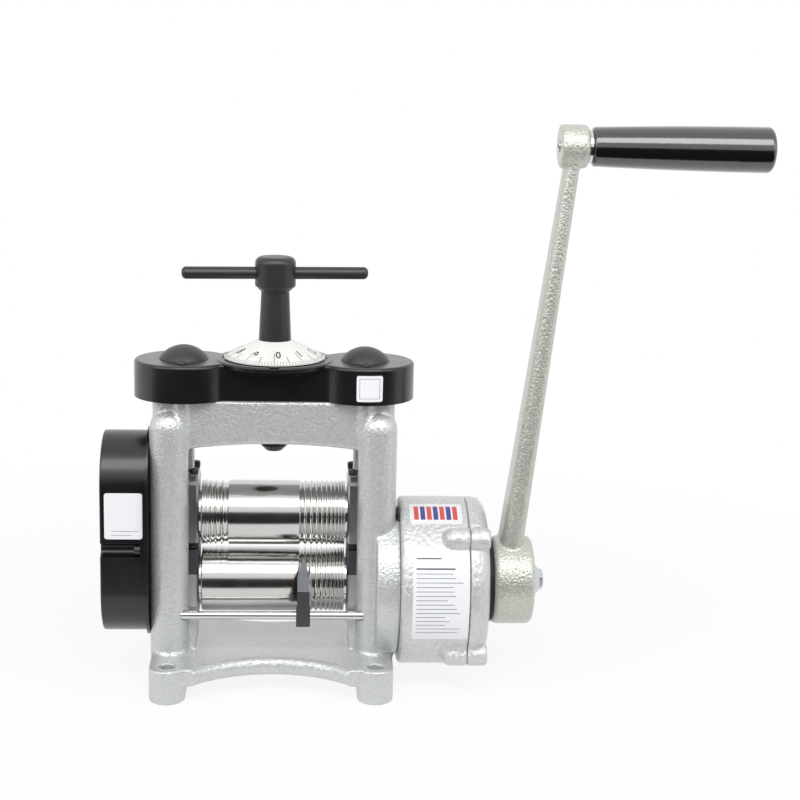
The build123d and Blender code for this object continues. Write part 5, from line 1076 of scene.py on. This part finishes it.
@dataclass
class Labels(SubAssembly):
    """Blank vinyl labels with plain ruled lines, where the mill has its labels; corners are (along, round)."""

    vinyl: float = 0.12
    print_proud: float = 0.16
    print_corner: float = 0.12
    large_corner: float = 2.0
    small_corner: float = 1.6
    line_height: float = 0.55
    line_step: float = 3.35
    margin: float = 2.6
    guard_low: Point = (-126.4, 3.6)
    guard_high: Point = (-97.9, 39.4)
    gearbox_radius: float = 65.4
    gearbox_low: float = -30.0
    gearbox_high: float = 41.5
    text_below: float = 17.5
    shortest_line: float = 0.55
    line_spread: float = 0.42
    chip_count: int = 7
    chip_step: float = 4.95
    chip_width: float = 3.6
    chip_inset: Point = (3.2, 4.5)
    lobe_x: float = 69.0
    lobe_radius: float = 37.5
    border_inset: float = 2.2
    border_line: float = 0.35

    def stock(self, name: str, wrap: Wrap, low: Point, high: Point, corner: float, slot: Slot) -> None:
        """Lays a blank label on a surface."""
        self.add(name, wrap.patch(low, high, corner, self.vinyl), Body.FRAME, slot, LABEL_VINYL)

    def ruled(self, name: str, wrap: Wrap, rules: Sequence[tuple[float, float, float, float]],
              finish: Finish) -> None:
        """Prints lines on a label, joined as one piece; each has its low and its high corner."""
        parts = (wrap.patch((x0, v0), (x1, v1), self.print_corner, self.print_proud)
                 for x0, v0, x1, v1 in rules)
        self.add(name, smoothed(joined_mesh(parts)), Body.FRAME, Slot.COVER_PLASTIC, finish)

    def guard_label(self) -> None:
        """Adds the label on the gear guard's front side."""
        box = NodeBox.of("gear_guard_cover")
        radius = (box.high.y - box.low.y) / 2
        wrap = Wrap(Along.X, (0.0, box.centre.z), radius, (box.high.z - box.low.z) / 2 - radius)
        low, high = self.guard_low, self.guard_high
        self.stock("guard_label", wrap, low, high, self.large_corner, Slot.COVER_PLASTIC)
        self.ruled("guard_label_lines", wrap,
                   [(low[0] + 5, low[1] + 6.0, high[0] - 3, low[1] + 6.4),
                    (low[0] + 5, low[1] + 3.0, high[0] - 8, low[1] + 3.4)], LABEL_GREY)

    def gearbox_labels(self) -> None:
        """Adds the tall ruled label and the coloured one on the gearbox."""
        box = NodeBox.of("gearbox_housing")
        wrap = Wrap(Along.X, (0.0, NodeBox.of("lower_roll").centre.z), self.gearbox_radius)
        left, right = box.low.x + 8.5, box.high.x - 0.9
        foot, head = self.gearbox_low, self.gearbox_high
        self.stock("gearbox_label", wrap, (left, foot), (right, head), self.large_corner, Slot.GEARBOX_PAINT)
        chance = random.Random(11)
        top = head - self.text_below
        start = left + self.margin
        width = right - left - 2 * self.margin
        rules = []
        for row in range(int((top - foot - self.margin) / self.line_step)):
            v = top - row * self.line_step
            length = width * (self.shortest_line + self.line_spread * chance.random())
            rules.append((start, v - self.line_height, start + length, v))
        self.ruled("gearbox_label_lines", wrap, rules, LABEL_GREY)
        self.ruled("gearbox_label_heading", wrap,
                   [(start, head - 14.6, start + 0.78 * width, head - 13.5),
                    (start, head - 6.6, start + 0.5 * width, head - 5.6)], LABEL_DARK)
        self.coloured_label(wrap, left)

    def coloured_label(self, wrap: Wrap, left: float) -> None:
        """Adds the coloured label above, with a row of plain chips in red and blue."""
        low, high = (left - 1.2, 65.0), (left + 39.0, 90.5)
        self.stock("chip_label", wrap, low, high, self.small_corner, Slot.GEARBOX_PAINT)
        inset_x, inset_v = self.chip_inset
        chips = {LABEL_RED: [], LABEL_BLUE: []}
        for index in range(self.chip_count):
            x = low[0] + inset_x + index * self.chip_step
            chips[LABEL_BLUE if index % 2 else LABEL_RED].append(
                (x, low[1] + inset_v, x + self.chip_width, high[1] - inset_v))
        for finish, rules in chips.items():
            self.ruled(f"chip_label_{finish.name.split('_')[0]}", wrap, rules, finish)

    def cover_label(self) -> None:
        """Adds the square label on the top cover's right lobe."""
        box = NodeBox.of("top_cover")
        wrap = Wrap(Along.Z, (self.lobe_x, 0.0), self.lobe_radius)
        low, high = (box.low.z + 3.1, -7.5), (box.low.z + 22.9, 12.3)
        self.stock("cover_label", wrap, low, high, self.small_corner, Slot.COVER_PLASTIC)
        inset, line = self.border_inset, self.border_line
        a, b, c, d = low[0] + inset, low[1] + inset, high[0] - inset, high[1] - inset
        self.ruled("cover_label_border", wrap,
                   [(a, b, a + line, d), (c - line, b, c, d), (a, b, c, b + line), (a, d - line, c, d)],
                   LABEL_GREY)

    def build(self) -> None:
        """Adds every label."""
        self.guard_label()
        self.gearbox_labels()
        self.cover_label()


@dataclass
class IndexMark(SubAssembly):
    """Small pointer on the rim in front of the dial, which the numbers are read at."""

    half_width: float = 3.6
    tip_half_width: float = 0.7
    height: float = 1.1
    depth: float = 3.4
    front: float = -44.6
    sunk: float = 0.6

    def build(self) -> None:
        """Makes the pointer as a low wedge that points to the dial."""
        front, z = self.front, NodeBox.of("top_cover").high.z
        tip = front + self.depth
        plan = [(-self.half_width, front), (self.half_width, front), (self.tip_half_width, tip),
                (-self.tip_half_width, tip)]
        low = [Vector((x, y, z - self.sunk)) for x, y in plan]
        high = [Vector((x * 0.9, y + 0.15, z + self.height)) for x, y in plan]
        faces = [(0, 1, 2, 3), (4, 5, 6, 7)] + [(i, (i + 1) % 4, 4 + (i + 1) % 4, 4 + i) for i in range(4)]
        self.add("dial_index", mesh_of(low + high, faces), Body.FRAME, Slot.COVER_PLASTIC, COVER_PLASTIC)


# ---------------------------------------------------------------- studio and camera
@dataclass
class Studio:
    """Pale floor, white surroundings, soft lamps and a dark card below the lens."""

    floor_half: float = 4.0
    floor_colour: str = "#f4f4f4"
    ambient: float = 0.5
    floor_glow: float = 0.88
    fade_start: float = 0.3
    fade_end: float = 0.75
    card_half: float = 1.1
    card_near: Point = (-0.25, 0.002)
    card_far: Point = (-1.25, 0.45)
    card_colour: str = "#333231"

    @staticmethod
    def seen(tree: NodeTree) -> NodeSocket:
        """Gives 1 for what the camera, a gloss or a clear surface looks at, and 0 for what only lights."""
        path = add_node(tree, "ShaderNodeLightPath")
        shown = calc(tree, "MAXIMUM", path.outputs["Is Camera Ray"], path.outputs["Is Glossy Ray"])
        return calc(tree, "MAXIMUM", shown, path.outputs["Is Transmission Ray"])

    def world(self) -> None:
        """Makes surroundings that look white and light softly."""
        world = bpy.data.worlds.new("white_studio")
        world.use_nodes = True
        bpy.context.scene.world = world
        tree = world.node_tree
        tree.nodes.clear()
        white = add_node(tree, "ShaderNodeBackground", {"Color": (1, 1, 1, 1), "Strength": 1.0})
        soft = add_node(tree, "ShaderNodeBackground", {"Color": (1, 1, 1, 1), "Strength": self.ambient})
        mixed = add_node(tree, "ShaderNodeMixShader",
                         {0: self.seen(tree), 1: soft.outputs[0], 2: white.outputs[0]})
        add_node(tree, "ShaderNodeOutputWorld", {0: mixed.outputs[0]})

    def floor(self) -> None:
        """Lays the floor, which looks nearly white and keeps a faint shadow."""
        material = bpy.data.materials.new("pale_floor")
        material.use_nodes = True
        tree = material.node_tree
        tree.nodes.clear()
        board = add_node(tree, "ShaderNodeBsdfDiffuse", {"Color": linear(self.floor_colour)})
        glow = add_node(tree, "ShaderNodeEmission", {"Color": (1, 1, 1, 1), "Strength": 1.0})
        place = add_node(tree, "ShaderNodeTexCoord").outputs["Object"]
        away = add_node(tree, "ShaderNodeVectorMath", {0: place}, operation="LENGTH").outputs["Value"]
        fade = add_node(tree, "ShaderNodeMapRange", {"Value": away, "From Min": self.fade_start,
                                                     "From Max": self.fade_end, "To Min": self.floor_glow})
        share = calc(tree, "MULTIPLY", self.seen(tree), fade.outputs[0])
        mixed = add_node(tree, "ShaderNodeMixShader", {0: share, 1: board.outputs[0], 2: glow.outputs[0]})
        add_node(tree, "ShaderNodeOutputMaterial", {0: mixed.outputs[0]})
        half = self.floor_half
        self.card("floor", [(-half, -half, 0), (half, -half, 0), (half, half, 0), (-half, half, 0)], material)

    @staticmethod
    def card(name: str, corners: Sequence[Sequence[float]], material: Material) -> Object:
        """Stands a flat card in the studio, with its corners in metres."""
        mesh = bpy.data.meshes.new(name)
        mesh.from_pydata([Vector(c) for c in corners], [], [list(range(len(corners)))])
        mesh.materials.append(material)
        card = new_object(name, mesh)
        return card

    def dark_card(self) -> None:
        """Lays a dark card from the table's edge up to the lens, which only glosses look at."""
        material = bpy.data.materials.new("dark_card")
        material.use_nodes = True
        shader = material.node_tree.nodes["Principled BSDF"]
        values = {"Base Color": linear(self.card_colour), "Roughness": 1.0, "Specular IOR Level": 0.0}
        for socket, value in values.items():
            shader.inputs[socket].default_value = value
        half, near, far = self.card_half, self.card_near, self.card_far
        card = self.card("dark_card", [(-half, *near), (half, *near), (half, *far), (-half, *far)], material)
        for ray in ("camera", "diffuse", "shadow", "transmission"):
            setattr(card, f"visible_{ray}", False)

    @staticmethod
    def lamp(name: str, place: Sequence[float], aim: Sequence[float], size: Point, power: float) -> None:
        """Hangs a soft box of a width and height in metres and a power in watts, facing a point."""
        light = bpy.data.lights.new(name, "AREA")
        light.shape = "RECTANGLE"
        light.size, light.size_y = size
        light.energy = power
        lamp = bpy.data.objects.new(name, light)
        lamp.location = place
        lamp.rotation_euler = (Vector(aim) - Vector(place)).to_track_quat("-Z", "Y").to_euler()
        bpy.context.scene.collection.objects.link(lamp)

    def build(self) -> None:
        """Sets up the whole studio."""
        bpy.context.scene.view_settings.view_transform = "Standard"
        self.world()
        self.floor()
        self.dark_card()
        self.lamp("left_soft_box", (-1.5, -1.1, 1.3), (0, 0, 0.18), (1.0, 1.0), 8)
        self.lamp("right_soft_box", (1.6, -0.9, 1.0), (0, 0, 0.18), (0.8, 0.8), 3)
        self.lamp("long_soft_box", (0.15, -0.9, 1.21), (0.1, 0, 0.25), (1.6, 0.6), 12)


@dataclass(frozen=True)
class PhotoCamera:
    """Camera at the photograph's viewpoint."""

    place: tuple[float, float, float] = (15.0, -1287.4, 488.6)
    yaw: float = 3.62
    pitch: float = 11.68
    roll: float = 1.32
    focal_px: float = 1709.9
    frame_px: int = 800
    sensor: float = 36.0

    def build(self) -> None:
        """Puts the camera in place and makes it the scene's."""
        yaw, pitch, roll = (math.radians(a) for a in (self.yaw, self.pitch, self.roll))
        ahead = Vector((math.sin(yaw) * math.cos(pitch), math.cos(yaw) * math.cos(pitch), -math.sin(pitch)))
        level = Vector((math.cos(yaw), -math.sin(yaw), 0))
        above = level.cross(ahead)
        right = math.cos(roll) * level + math.sin(roll) * above
        up = math.cos(roll) * above - math.sin(roll) * level
        data = bpy.data.cameras.new("camera")
        data.sensor_width = self.sensor
        data.lens = self.focal_px * self.sensor / self.frame_px
        camera = bpy.data.objects.new("camera", data)
        turn = Matrix((right, up, -ahead)).transposed().to_4x4()
        camera.matrix_world = Matrix.Translation(Vector(self.place) * MM) @ turn
        bpy.context.scene.collection.objects.link(camera)
        bpy.context.scene.camera = camera


def main() -> None:
    """Builds the mill around its frame, and the studio around the mill."""
    logging.basicConfig(level=logging.INFO, format="%(message)s")
    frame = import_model()
    PlainNodes(frame["record"]).build()
    for part in (Castings(), Rolls(), LiftSprings(), ButtonScrews(), Dial(), Labels(), IndexMark()):
        part.build()
    Studio().build()
    PhotoCamera().build()


if __name__ == "__main__":
    main()
